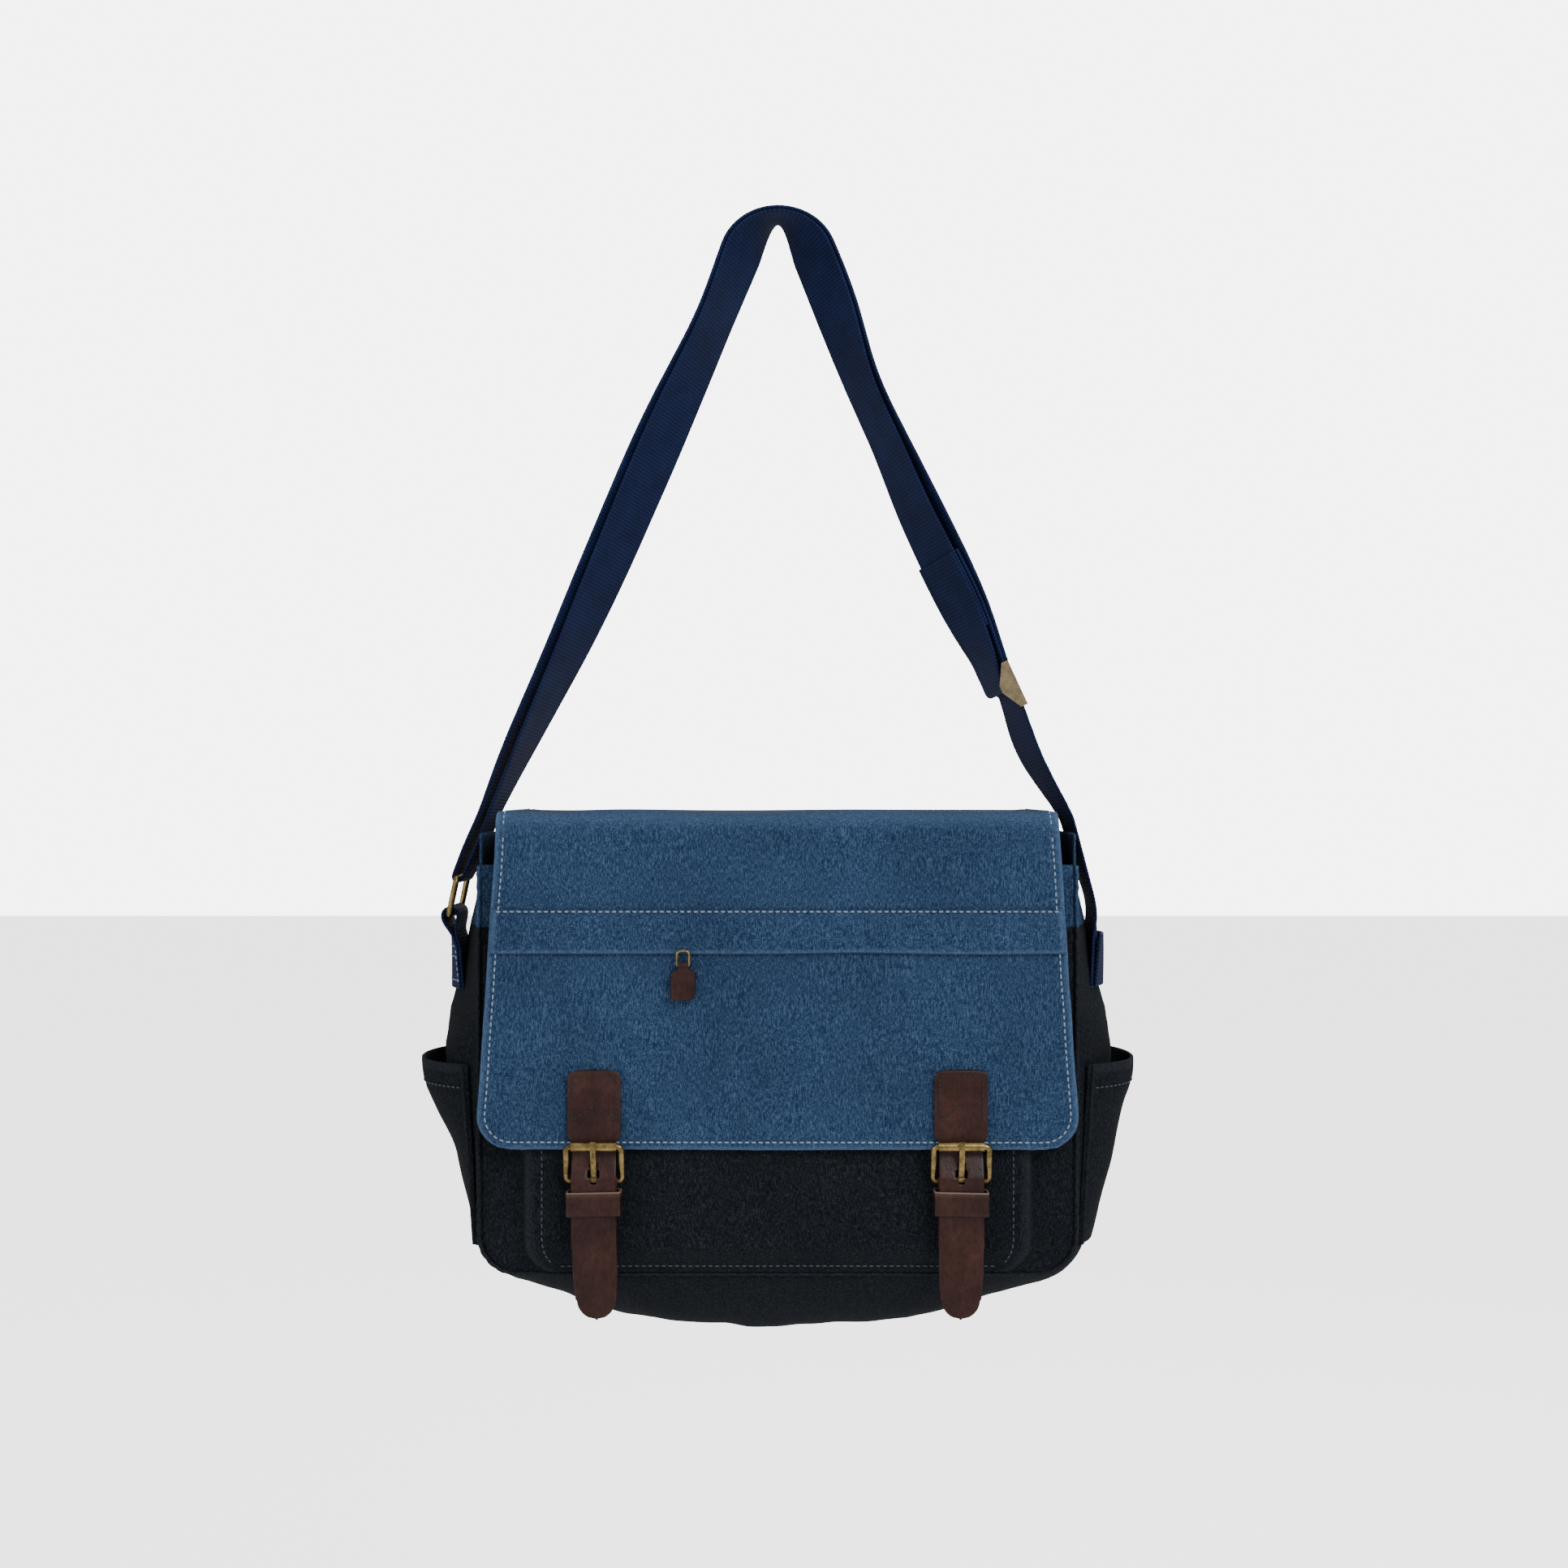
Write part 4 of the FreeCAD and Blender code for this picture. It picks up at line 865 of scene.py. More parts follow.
spare = len(flap.data.vertices) - 2 * flap_wear.size
set_attribute(flap, "wear", np.concatenate([flap_wear, flap_wear, np.full(spare, 0.9)]))
flap.data.materials.append(BLUE)
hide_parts("flap_cover", "flap_upper_panel", "flap_lower_panel")


def cross_fold(piece):
    """Bakes the piece's transform into its mesh."""
    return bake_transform(piece)


cross_fold(flap)

# lining of the drop
lining_rows = np.linspace(FOLD_AT + 1.5 * MM, FLAP_LENGTH - 1.5 * MM, 70)
lining_grid, lining_share = np.meshgrid(lining_rows, edge_spacing(70, HEM_HALF) * 0.985, indexing="ij")
lining_points = flap_surface(lining_grid, lining_share)
lining_points[..., 1] = FLAP_FACE + 4.2 * MM + 0.25 * (lining_points[..., 1] - FLAP_FACE)
lining = sheet_mesh("flap_lining_cloth", lining_points, 1.0 * MM, flip=True)
set_attribute(lining, "wear", 0)
finish_piece(lining, DARK, "flap", "dark_canvas", "flap_lining")


def hem_share(along, inset):
    """The share at which a line runs this far inside the side edge."""
    half = flap_half_width(along)
    near = np.clip(FLAP_ROUND - (FLAP_LENGTH - along), 0, FLAP_ROUND)
    inner = FLAP_ROUND - inset
    straight = half + FLAP_ROUND - np.sqrt(np.maximum(FLAP_ROUND ** 2 - near ** 2, 0))
    bend = np.sqrt(np.maximum(inner ** 2 - near ** 2, 0)) - inner
    return (straight - inset + bend) / half


EDGE_INSET = 4.1 * MM
STITCH_LIFT = 0.55 * MM
side_run = np.concatenate([np.linspace(FOLD_AT + 4 * MM, FLAP_LENGTH - FLAP_ROUND, 120)[:-1],
                           FLAP_LENGTH - FLAP_ROUND
                           + (FLAP_ROUND - EDGE_INSET) * np.sin(np.linspace(0, math.pi / 2, 26))])
inner_share = hem_share(side_run, EDGE_INSET)
right_side = flap_surface(side_run, inner_share, STITCH_LIFT)
left_side = flap_surface(side_run, -inner_share, STITCH_LIFT)
hem_x = np.linspace(-inner_share[-1], inner_share[-1], 160)
hem_line = flap_surface(np.full_like(hem_x, FLAP_LENGTH - EDGE_INSET), hem_x, STITCH_LIFT)
seam_share = np.linspace(-0.985, 0.985, 160)
SEAM_AT = FOLD_AT + (COVER_Z - FOLD_ROUND) - PLACKET_HIGH[2] + 1.2 * MM
seam_line = flap_surface(np.full_like(seam_share, SEAM_AT), seam_share, 1.15 * MM)
flap_stitches = stitches("flap_edge_stitches", [left_side, hem_line, right_side, seam_line], (0, -1, 0),
                         radius=0.5 * MM)
finish_piece(flap_stitches, BLUE_THREAD, "flap", "blue_canvas")

# top stitching along the cover's side edges and its back seam
cover_run = np.linspace(BACK_RUN + 2 * MM, FOLD_AT - 2 * MM, 70)
cover_lines = []
for sign in (-1, 1):
    share = sign * (1 - EDGE_INSET / flap_half_width(cover_run))
    cover_lines.append(flap_surface(cover_run, share, 0.25 * MM))
back_share = np.linspace(-0.97, 0.97, 120)
cover_lines.append(flap_surface(np.full_like(back_share, 5 * MM), back_share, 0.25 * MM))
cover_lines.append(flap_surface(np.full_like(back_share, 12 * MM), back_share, 0.25 * MM))
cover_stitches = stitches("flap_cover_stitches", cover_lines,
                          [(0, 0, 1), (0, 0, 1), (0, 1, 0), (0, 1, 0)])
finish_piece(cover_stitches, BLUE_THREAD, "bag", "blue_canvas")


# ---------------------------------------------------------------------------
# placket: the folded edge that hides the zip
# ---------------------------------------------------------------------------

def placket_points(columns=150):
    """A folded strip: down its front, round its soft lower edge and up behind."""
    top = PLACKET_HIGH[2] + 0.5 * MM
    low = PLACKET_LOW[2]
    radius = 1.2 * MM
    section = [(0.6, top), (0.9, top - 3 * MM)]
    section += [(1.6 + 0.9 * t ** 0.7, top - 3 * MM - t * (top - low - 6 * MM))
                for t in np.linspace(0.1, 1, 9)]
    for turn in np.linspace(0, math.pi, 9):
        section.append((2.4 - 1.2 + 1.2 * math.cos(turn), low + radius - radius * math.sin(turn)))
    section += [(0.1, low + 6 * MM), (0.05, low + 14 * MM), (0.02, top - 1.5 * MM)]
    x = np.linspace(-1, 1, columns)
    forward = np.array([p[0] for p in section]) * MM
    heights = np.array([p[1] for p in section])
    f, share = np.meshgrid(forward, x, indexing="ij")
    z = np.broadcast_to(heights[:, None], f.shape)
    along = FOLD_AT + (COVER_Z - FOLD_ROUND) - z
    half = flap_half_width(along) - 0.3 * MM
    place = share * half
    loose = smooth_step(top - z, 0.004, 0.02)
    waves = wobble_at(place, 0, 0, 24.0, 14.0) * 0.8 + wobble_at(place, 0, 0, 75.0, 2.0) * 0.35
    wave_out = waves * MM * loose
    wave_down = wobble_at(place, 0, 0, 11.0, 21.0) * 1.2 * MM * loose
    y = flap_surface(along, share)[..., 1] - f - np.abs(wave_out)
    return np.stack([place, y, z + wave_down], axis=-1)


PLACKET_POINTS = placket_points()
rows, columns = PLACKET_POINTS.shape[:2]
faces = []
for r in range(rows):
    for c in range(columns - 1):
        a = r * columns + c
        b = ((r + 1) % rows) * columns + c
        faces.append((a, b, b + 1, a + 1))
faces.append(tuple(r * columns for r in range(rows))[::-1])
faces.append(tuple(r * columns + columns - 1 for r in range(rows)))
placket = new_object("flap_placket_cloth", PLACKET_POINTS.reshape(-1, 3), faces)
placket_wear = np.zeros((rows, columns))
placket_wear[11:15] = 0.55
placket_wear[:, :2] = 0.6
placket_wear[:, -2:] = 0.6
set_attribute(placket, "wear", placket_wear.reshape(-1))
finish_piece(placket, BLUE, "flap", "blue_canvas", "flap_placket", "placket_fold")


# ---------------------------------------------------------------------------
# shoulder strap: one webbing, twisted in its legs, over the hook and through its ring
# ---------------------------------------------------------------------------

LEG = math.radians(24.8)
HOOK_BEND = 8 * MM
MID_RUN = 9.8 * MM
WEB_HALF = 19 * MM
WEB_THICK = 1.6 * MM
RING_DROP = 0.4231
RING_TURN = 2.75 * MM
LAP_RUN = 7.0 * MM
LAP_END = 0.262
SLIDER_DROP = 0.300
SLIDER_TURN = 2.5 * MM

# how the webbing twists (degrees) and bows outwards (mm) at distances down each leg
TWIST_LEFT = ([0, 0.03, 0.06, 0.08, 0.114, 0.145, 0.21, 0.24, 0.27, 0.30, 0.335, 0.366, 0.39, 0.43],
              [31, 29, 23, 26, 31, 34, 31, 28, 23, 17, 11, 4, 2, 1])
TWIST_RIGHT = ([0, 0.03, 0.06, 0.09, 0.12, 0.16, 0.20, 0.24, 0.27, 0.292, 0.33, 0.38, 0.42],
               [32, 33, 33, 22, 19, 23, 27, 30, 22, 6, 16, 4, 0])
BOW_LEFT = ([0, 0.02, 0.05, 0.08, 0.114, 0.145, 0.176, 0.21, 0.27, 0.335, 0.43],
            [6.0, 5.4, 3.0, 2.0, 2.2, 1.6, 0.8, -0.4, -1.6, -0.6, 0])
BOW_RIGHT = ([0, 0.02, 0.06, 0.10, 0.14, 0.20, 0.25, 0.305, 0.325, 0.348, 0.362, 0.374, 0.43],
             [5.2, 4.8, 2.4, -3.0, -3.0, -2.4, -0.8, 0, -5.0, -6.0, -4.0, -0.5, 0])
GAP_LEFT = ([0, 0.06, 0.14, 0.22, 0.30, 0.355, 0.395, 0.43], [0, 0.4, 2.0, 3.0, 4.0, 5.0, 2.2, 0])
GAP_RIGHT = ([0, 0.06, 0.14, 0.20, 0.24, 0.265, 0.43], [0, 0.4, 2.4, 2.4, 1.0, 0, 0])


def twist_at(sign, down):
    """How far the webbing's front edge is turned outwards at a place on a leg."""
    stations, degrees = TWIST_LEFT if sign < 0 else TWIST_RIGHT
    return np.radians(smooth_curve(np.array(stations), np.array(degrees, float), down))


def leg_rows(sign, down, offset):
    """Front and rear edge points of the webbing along a leg."""
    down = np.asarray(down, float)
    reach = WEB_HALF * np.sin(twist_at(sign, down))
    stations, bows = BOW_LEFT if sign < 0 else BOW_RIGHT
    bow = smooth_curve(np.array(stations), np.array(bows), down) * MM
    edges = []
    for side in (-1, 1):
        place = offset + bow - side * reach
        x = place * math.cos(LEG) + down * math.sin(LEG)
        z = -HOOK_BEND + place * math.sin(LEG) - down * math.cos(LEG)
        y = side * WEB_HALF * np.cos(twist_at(sign, down))
        edges.append(np.stack([sign * x, y, z], axis=-1))
    return edges[0], edges[1]


def arch(start, top, finish, roundness, count=26):
    """A smooth line from a leg up over a top point and down the other leg."""
    turn = math.pi / 2 - LEG
    line = []
    for low, sign in ((start, 1), (finish, -1)):
        chord = np.linalg.norm(low - top)
        pull = roundness * 2 * math.tan(turn / 4) / math.sin(turn / 2) * chord
        up = np.array((-sign * math.sin(LEG), 0, math.cos(LEG))) * pull
        level = np.array((-sign * pull, 0, 0))
        t = np.linspace(0, 1, count)[:, None]
        run = ((2 * t ** 3 - 3 * t ** 2 + 1) * low + (t ** 3 - 2 * t ** 2 + t) * up
               + (3 * t ** 2 - 2 * t ** 3) * top + (t ** 3 - t ** 2) * level)
        line.append(run if sign > 0 else run[::-1][1:])
    return np.concatenate(line)


def apex_rows(right, left, layer):
    """The webbing over the hook, right leg to left: its front edge wide, its rear edge tight."""
    depth = WEB_HALF * math.cos(twist_at(1, np.array([0.02]))[0])
    front = arch(right[0][-1], np.array((0, -depth, 2.8 * MM + layer)), left[0][0], 1.0)
    rear = arch(right[1][-1], np.array((0, depth, 2.8 * MM + layer)), left[1][0], 0.5)
    return front, rear


def band(name, runs, thick=WEB_THICK, columns=15, flip=False, shape=None):
    """Webbing through rows of front and rear edge points."""
    front = np.concatenate([run[0] for run in runs])
    rear = np.concatenate([run[1] for run in runs])
    middle = (front + rear) / 2
    length = np.concatenate([[0], np.cumsum(np.linalg.norm(np.diff(middle, axis=0), axis=1))])
    keep = np.concatenate([[True], np.diff(length) > 1e-5])
    front, rear, length = front[keep], rear[keep], length[keep]
    step = 1.5 * MM
    at = np.linspace(0, length[-1], int(length[-1] / step))
    smooth = []
    for edge in (front, rear):
        line = np.stack([np.interp(at, length, edge[:, k]) for k in range(3)], axis=1)
        for _ in range(2):
            line[1:-1] = (line[:-2] + 2 * line[1:-1] + line[2:]) / 4
        smooth.append(line)
    share = np.sin(np.linspace(-0.5, 0.5, columns) * math.pi * 0.98) / 2 + 0.5
    share = (share - share[0]) / (share[-1] - share[0])
    points = smooth[0][:, None] * (1 - share)[None, :, None] + smooth[1][:, None] * share[None, :, None]
    if shape:
        points = shape(points)
    normal = surface_normals(points)
    if flip:
        normal = -normal
    points = points + normal * thick / 2
    piece = sheet_mesh(name, points, thick, flip=flip)
    along = np.broadcast_to(at[:, None], points.shape[:2])
    across = np.broadcast_to((share * 2 * WEB_HALF)[None, :], points.shape[:2])
    set_attribute(piece, "along", sheet_values(along))
    set_attribute(piece, "across", sheet_values(across))
    return piece, points


def spread(sign, down, base):
    """A layer's offset, kept clear of its neighbour where the webbing is twisted."""
    return MID_RUN + (base - MID_RUN) / np.cos(twist_at(sign, np.asarray(down, float)))


def over_crest(high, low):
    """Bends webbing over the gusset's crest, fully below one height and not at all above another."""
    def shape(points):
        x, y, z = points[..., 0], points[..., 1], points[..., 2]
        amount = smooth_step(-z, -high, -low) * (np.abs(x) > 0.15)
        moved = points.copy()
        moved[..., 0] -= np.sign(x) * amount * crest_drop(np.sign(x), y, np.maximum(z, -0.455))
        return moved
    return shape


def plain_rows(points):
    """Rows that run straight across the bag through (x, z) points."""
    points = np.array(points, float)
    edges = []
    for depth in (-WEB_HALF, WEB_HALF):
        edges.append(np.stack([points[:, 0], np.full(len(points), depth), points[:, 1]], axis=-1))
    return edges[0], edges[1]


def backwards(rows):
    """The same rows in the other direction."""
    return rows[0][::-1], rows[1][::-1]


# heights between which the strap and its patch start to follow the gusset's crest
CREST_HIGH = -0.398
CREST_LOW = -0.428
OUTER = MID_RUN + 1.0 * MM
INNER = MID_RUN - 1.0 * MM
down_right = np.linspace(0.020, 0.385, 180)
down_left = np.linspace(0.020, RING_DROP - 0.050, 180)
ring_ease = np.linspace(RING_DROP - 0.050, RING_DROP, 24)
widen = smooth_step(ring_ease, RING_DROP - 0.048, RING_DROP - 0.012) * (RING_TURN - 1.0 * MM)
half_turn = np.linspace(0, math.pi, 16)[1:-1]
anchor = plain_rows([(0.1893, -0.452), (0.1889, -0.440), (0.1882, -0.426), (0.1868, -0.411),
                     (0.1835, -0.398)])
gap_right = smooth_curve(np.array(GAP_RIGHT[0]), np.array(GAP_RIGHT[1]), down_right) * MM
gap_left = smooth_curve(np.array(GAP_LEFT[0]), np.array(GAP_LEFT[1]), down_left) * MM
gap_ring = np.interp(ring_ease, [ring_ease[0], ring_ease[-1]], [gap_left[-1], 0])
outer_right = backwards(leg_rows(1, down_right, spread(1, down_right, OUTER) + gap_right))
outer_left = leg_rows(-1, down_left, spread(-1, down_left, OUTER) + gap_left)
inner_left = backwards(leg_rows(-1, down_left, spread(-1, down_left, INNER)))
down_lap = np.linspace(0.020, LAP_END, 120)
lap = INNER + (LAP_RUN - INNER) * smooth_step(down_lap, 0.13, 0.19)
inner_right = leg_rows(1, down_lap, spread(1, down_lap, lap))
over_inner = apex_rows(backwards(inner_right), backwards(inner_left), -1.0 * MM)
runs = [
    anchor,
    outer_right,
    apex_rows(outer_right, outer_left, 1.0 * MM),
    outer_left,
    leg_rows(-1, ring_ease, spread(-1, ring_ease, OUTER) + widen + gap_ring),
    leg_rows(-1, RING_DROP + RING_TURN * np.sin(half_turn), MID_RUN + RING_TURN * np.cos(half_turn)),
    backwards(leg_rows(-1, ring_ease, spread(-1, ring_ease, INNER) - widen)),
    inner_left,
    backwards(over_inner),
    inner_right,
]
strap = band("shoulder_strap_webbing", runs, shape=over_crest(CREST_HIGH, CREST_LOW))[0]
finish_piece(strap, WEBBING, "bag", "webbing", "shoulder_strap")

loop_outer = LAP_RUN + WEB_THICK + 0.3 * MM
loop_centre = loop_outer - SLIDER_TURN
down_loop = np.linspace(SLIDER_DROP - 0.085, SLIDER_DROP, 50)
loop_inner = LAP_RUN - WEB_THICK - 0.3 * MM
close = smooth_step(down_loop, SLIDER_DROP - 0.024, SLIDER_DROP - 0.008)
inner_run = loop_inner + (loop_centre - SLIDER_TURN - loop_inner) * close
loop_turn = np.linspace(0, math.pi, 14)[1:-1]
loop_runs = [
    leg_rows(1, down_loop, np.full_like(down_loop, loop_outer)),
    leg_rows(1, SLIDER_DROP + SLIDER_TURN * np.sin(loop_turn), loop_centre + SLIDER_TURN * np.cos(loop_turn)),
    backwards(leg_rows(1, down_loop, inner_run)),
]
loop, LOOP_POINTS = band("strap_end_loop_webbing", loop_runs)
finish_piece(loop, WEBBING, "strap_slider", "webbing", "strap_end_loop")

WEB_STITCH = {"pitch": 3.2 * MM, "length": 2.3 * MM}
loop_rows = LOOP_POINTS.shape[0]
sewn_rows = [LOOP_POINTS[loop_rows - before_end, 1:-1] for before_end in (4, 8, 30)]
inward = (-math.cos(LEG), 0, -math.sin(LEG))
loop_stitches = stitches("strap_end_stitches", sewn_rows, inward, **WEB_STITCH)
finish_piece(loop_stitches, BLUE_THREAD, "strap_slider", "webbing")

# left tab, folded round the ring's lower bar
RING_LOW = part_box("strap_ring")[0]
foot_x = RING_LOW[0] + 1.8 * MM
foot_z = RING_LOW[2] + 1.8 * MM
tab_turn = 4.7 * MM
tab_base = foot_z - 43 * MM
bend = np.linspace(0, math.pi, 18)
tab_path = [(-0.1902, tab_base), (-0.1902, foot_z - 30 * MM), (-0.1902, foot_z - 18 * MM),
            (-0.1901, foot_z - 11 * MM), (foot_x + tab_turn - 0.5 * MM, foot_z - 3.5 * MM)]
tab_path += [(foot_x + tab_turn * math.cos(t), foot_z + tab_turn * math.sin(t) * 0.92) for t in bend]
tab_path += [(foot_x - tab_turn + 0.5 * MM, foot_z - 3.5 * MM), (-0.1921, foot_z - 11 * MM),
             (-0.1919, foot_z - 18 * MM), (-0.1919, foot_z - 30 * MM), (-0.1919, tab_base)]
tab, TAB_POINTS = band("left_tab_webbing", [plain_rows(tab_path)], shape=over_crest(-0.411, -0.430))
finish_piece(tab, WEBBING, "bag", "webbing", "left_strap_tab")
tab_lines = []
for height in (tab_base + 4 * MM, foot_z - 19 * MM, foot_z - 24 * MM):
    row = len(TAB_POINTS) - 1 - int(np.argmin(np.abs(TAB_POINTS[::-1][:60, 7, 2] - height)))
    tab_lines.append(TAB_POINTS[row, 1:-1])
for column in (1, -2):
    tab_lines.append(TAB_POINTS[-16:-2, column])
tab_stitches = stitches("left_tab_stitches", tab_lines, (-1, -0.4, 0), **WEB_STITCH)
finish_piece(tab_stitches, BLUE_THREAD, "bag", "webbing")

# right patch over the strap's sewn end
PATCH_LOW, PATCH_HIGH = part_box("right_strap_patch")
patch_path = [(0.1915 + 0.3 * MM * math.sin(t * 3), PATCH_LOW[2] + t * (PATCH_HIGH[2] - PATCH_LOW[2]))
              for t in np.linspace(0, 1, 9)]
patch, PATCH_POINTS = band("right_patch_webbing", [plain_rows(patch_path)], flip=True,
                           shape=over_crest(CREST_HIGH, CREST_LOW))
finish_piece(patch, WEBBING, "bag", "webbing", "right_strap_patch")
patch_lines = [PATCH_POINTS[2, 1:-1], PATCH_POINTS[-3, 1:-1], PATCH_POINTS[2:-2, 1], PATCH_POINTS[2:-2, -2]]
patch_stitches = stitches("right_patch_stitches", patch_lines, (1, -0.4, 0), **WEB_STITCH)
finish_piece(patch_stitches, BLUE_THREAD, "bag", "webbing")


# ---------------------------------------------------------------------------
# leather: straps, chapes, keepers and the zip pull
# ---------------------------------------------------------------------------

LEATHER_LOW, LEATHER_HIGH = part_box("left_leather_strap")
BUCKLE_X = (LEATHER_HIGH[0] - LEATHER_LOW[0]) / 2 + LEATHER_LOW[0]
HEEL_Z = -0.556
TAB_TOP = LEATHER_HIGH[2]
TAIL_END = LEATHER_LOW[2]
LEATHER_THICK = 2.4 * MM
STRAP_HALF = 12.5
SEWN_HALF = 15.0
SEWN_CORNER = 4.0 * MM
TAIL_ROUND = 10.5 * MM
TAPER_RUN = 26 * MM


def rounded_path(corners, radii, step=1.2 * MM):
    """A line of (forward, up) corners with rounded turns, evenly sampled."""
    corners = np.array(corners, float)
    line = [corners[0]]
    for before, corner, after, radius in zip(corners, corners[1:], corners[2:], radii):
        to_before = (before - corner) / np.linalg.norm(before - corner)
        to_after = (after - corner) / np.linalg.norm(after - corner)
        half = math.acos(np.clip(to_before.dot(to_after), -1, 1)) / 2
        setback = radius / math.tan(half)
        start, finish = corner + to_before * setback, corner + to_after * setback
        for t in np.linspace(0, 1, 9):
            line.append(start * (1 - t) ** 2 + 2 * corner * t * (1 - t) + finish * t ** 2)
    line.append(corners[-1])
    line = np.array(line)
    length = np.concatenate([[0], np.cumsum(np.linalg.norm(np.diff(line, axis=0), axis=1))])
    at = np.linspace(0, length[-1], max(4, int(length[-1] / step)))
    return np.stack([np.interp(at, length, line[:, 0]), np.interp(at, length, line[:, 1])], axis=1)


def billet_half_width(up):
    """Half the leather strap's width: wide sewn tab, straight strap, tapered round tail."""
    tail = TAIL_END - HEEL_Z
    step = STRAP_HALF + (up / MM - 22) / 3 * (SEWN_HALF - STRAP_HALF)
    width = np.where(up > 25.0 * MM, SEWN_HALF, np.where(up < 22.0 * MM, STRAP_HALF, step))
    corner = np.clip(SEWN_CORNER - (TAB_TOP - HEEL_Z - up), 0, SEWN_CORNER)
    width = width * MM - SEWN_CORNER + np.sqrt(np.maximum(SEWN_CORNER ** 2 - corner ** 2, 0))
    taper = np.clip((tail + TAPER_RUN - up) / TAPER_RUN, 0, 1)
    width = width - 1.8 * MM * taper
    end = np.clip(TAIL_ROUND - (up - tail), 0, TAIL_ROUND)
    round_end = np.sqrt(np.maximum(TAIL_ROUND ** 2 - end ** 2, 0)) + 0.2 * MM
    return np.where(up - tail < TAIL_ROUND, np.minimum(width, round_end), width)


def leather_sheet(name, grid, thick, crown=0.35 * MM):
    """A leather strap's mesh with rounded, slightly sunk edges; the grid is its outer face."""
    rows, columns = grid.shape[:2]
    share = np.abs(np.linspace(-1, 1, columns))
    normal = surface_normals(grid)
    facing = normal[rows // 2, columns // 2]
    flip = facing[1] > 0
    if flip:
        normal = -normal
    grid = grid - normal * (crown * share ** 10)[None, :, None]
    piece = sheet_mesh(name, grid, thick, flip=flip)
    edge = np.broadcast_to(share ** 14, (rows, columns)).copy()
    edge[0], edge[-1] = 1, 1
    set_attribute(piece, "wear", sheet_values(edge))
    return piece, grid


def billet(side, centre_x):
    """The leather strap that is sewn on the flap and passes through its buckle."""
    tab_top = TAB_TOP - HEEL_Z
    tail = TAIL_END - HEEL_Z
    # forward of the flap where it is sewn on, and where it passes over the buckle's bar
    sewn_at, over_bar = 2.47 * MM, 7.3 * MM
    corners = [(sewn_at, tab_top), (sewn_at, 14.5 * MM), (over_bar, 2.0 * MM), (over_bar, tail)]
    path = rounded_path(corners, [9 * MM, 9 * MM], 0.9 * MM)
    share = np.sin(np.linspace(-0.5, 0.5, 25) * math.pi)
    up, shares = np.meshgrid(path[:, 1], share, indexing="ij")
    forward = np.broadcast_to(path[:, 0][:, None], up.shape)
    x = shares * billet_half_width(up)
    lean = -0.035 * np.clip(-up - 20 * MM, 0, None) * (1 if centre_x < 0 else -0.4)
    lift = 1.6 * MM * smooth_step(-up, 0.03, 0.078) + 0.35 * MM * wobble_at(x + centre_x, 0.0, up, 55.0, 3.0)
    y = FLAP_FACE - forward - lift * smooth_step(-up, 0.0, 0.03)
    grid = np.stack([centre_x + x - lean, y, HEEL_Z + up], axis=-1)
    piece, grid = leather_sheet(side + "_leather_strap_hide", grid, LEATHER_THICK)
    # the prong's slot is an oval, 5.2 mm wide and 12.4 mm high
    cut_hole(piece, lambda place: math.hypot((place.x - centre_x) / 2.6,
                                             (place.z - HEEL_Z - 4.2 * MM) / 6.2) < MM)
    finish_piece(piece, LEATHER, "flap", "leather", side + "_leather_strap")

    def at(side_share, height):
        """A point on the tab's face."""
        return (centre_x + side_share, FLAP_FACE - 2.85 * MM, HEEL_Z + height)

    inset = 12.3 * MM
    low = 34 * MM
    high = tab_top - 2.9 * MM
    outline = [at(-inset, low), at(-inset, high), at(inset, high), at(inset, low)]
    chevron = [at(-inset, low), at(0, low + 8 * MM), at(inset, low)]
    lines = [outline[:2], outline[1:3], outline[2:], chevron[:2], chevron[1:]]
    sewn = stitches(side + "_strap_stitches", lines, (0, -1, 0), pitch=3.0 * MM, length=2.2 * MM,
                    radius=0.45 * MM)
    finish_piece(sewn, BROWN_THREAD, "flap", "leather")


KEEPER_WALL = 0.7


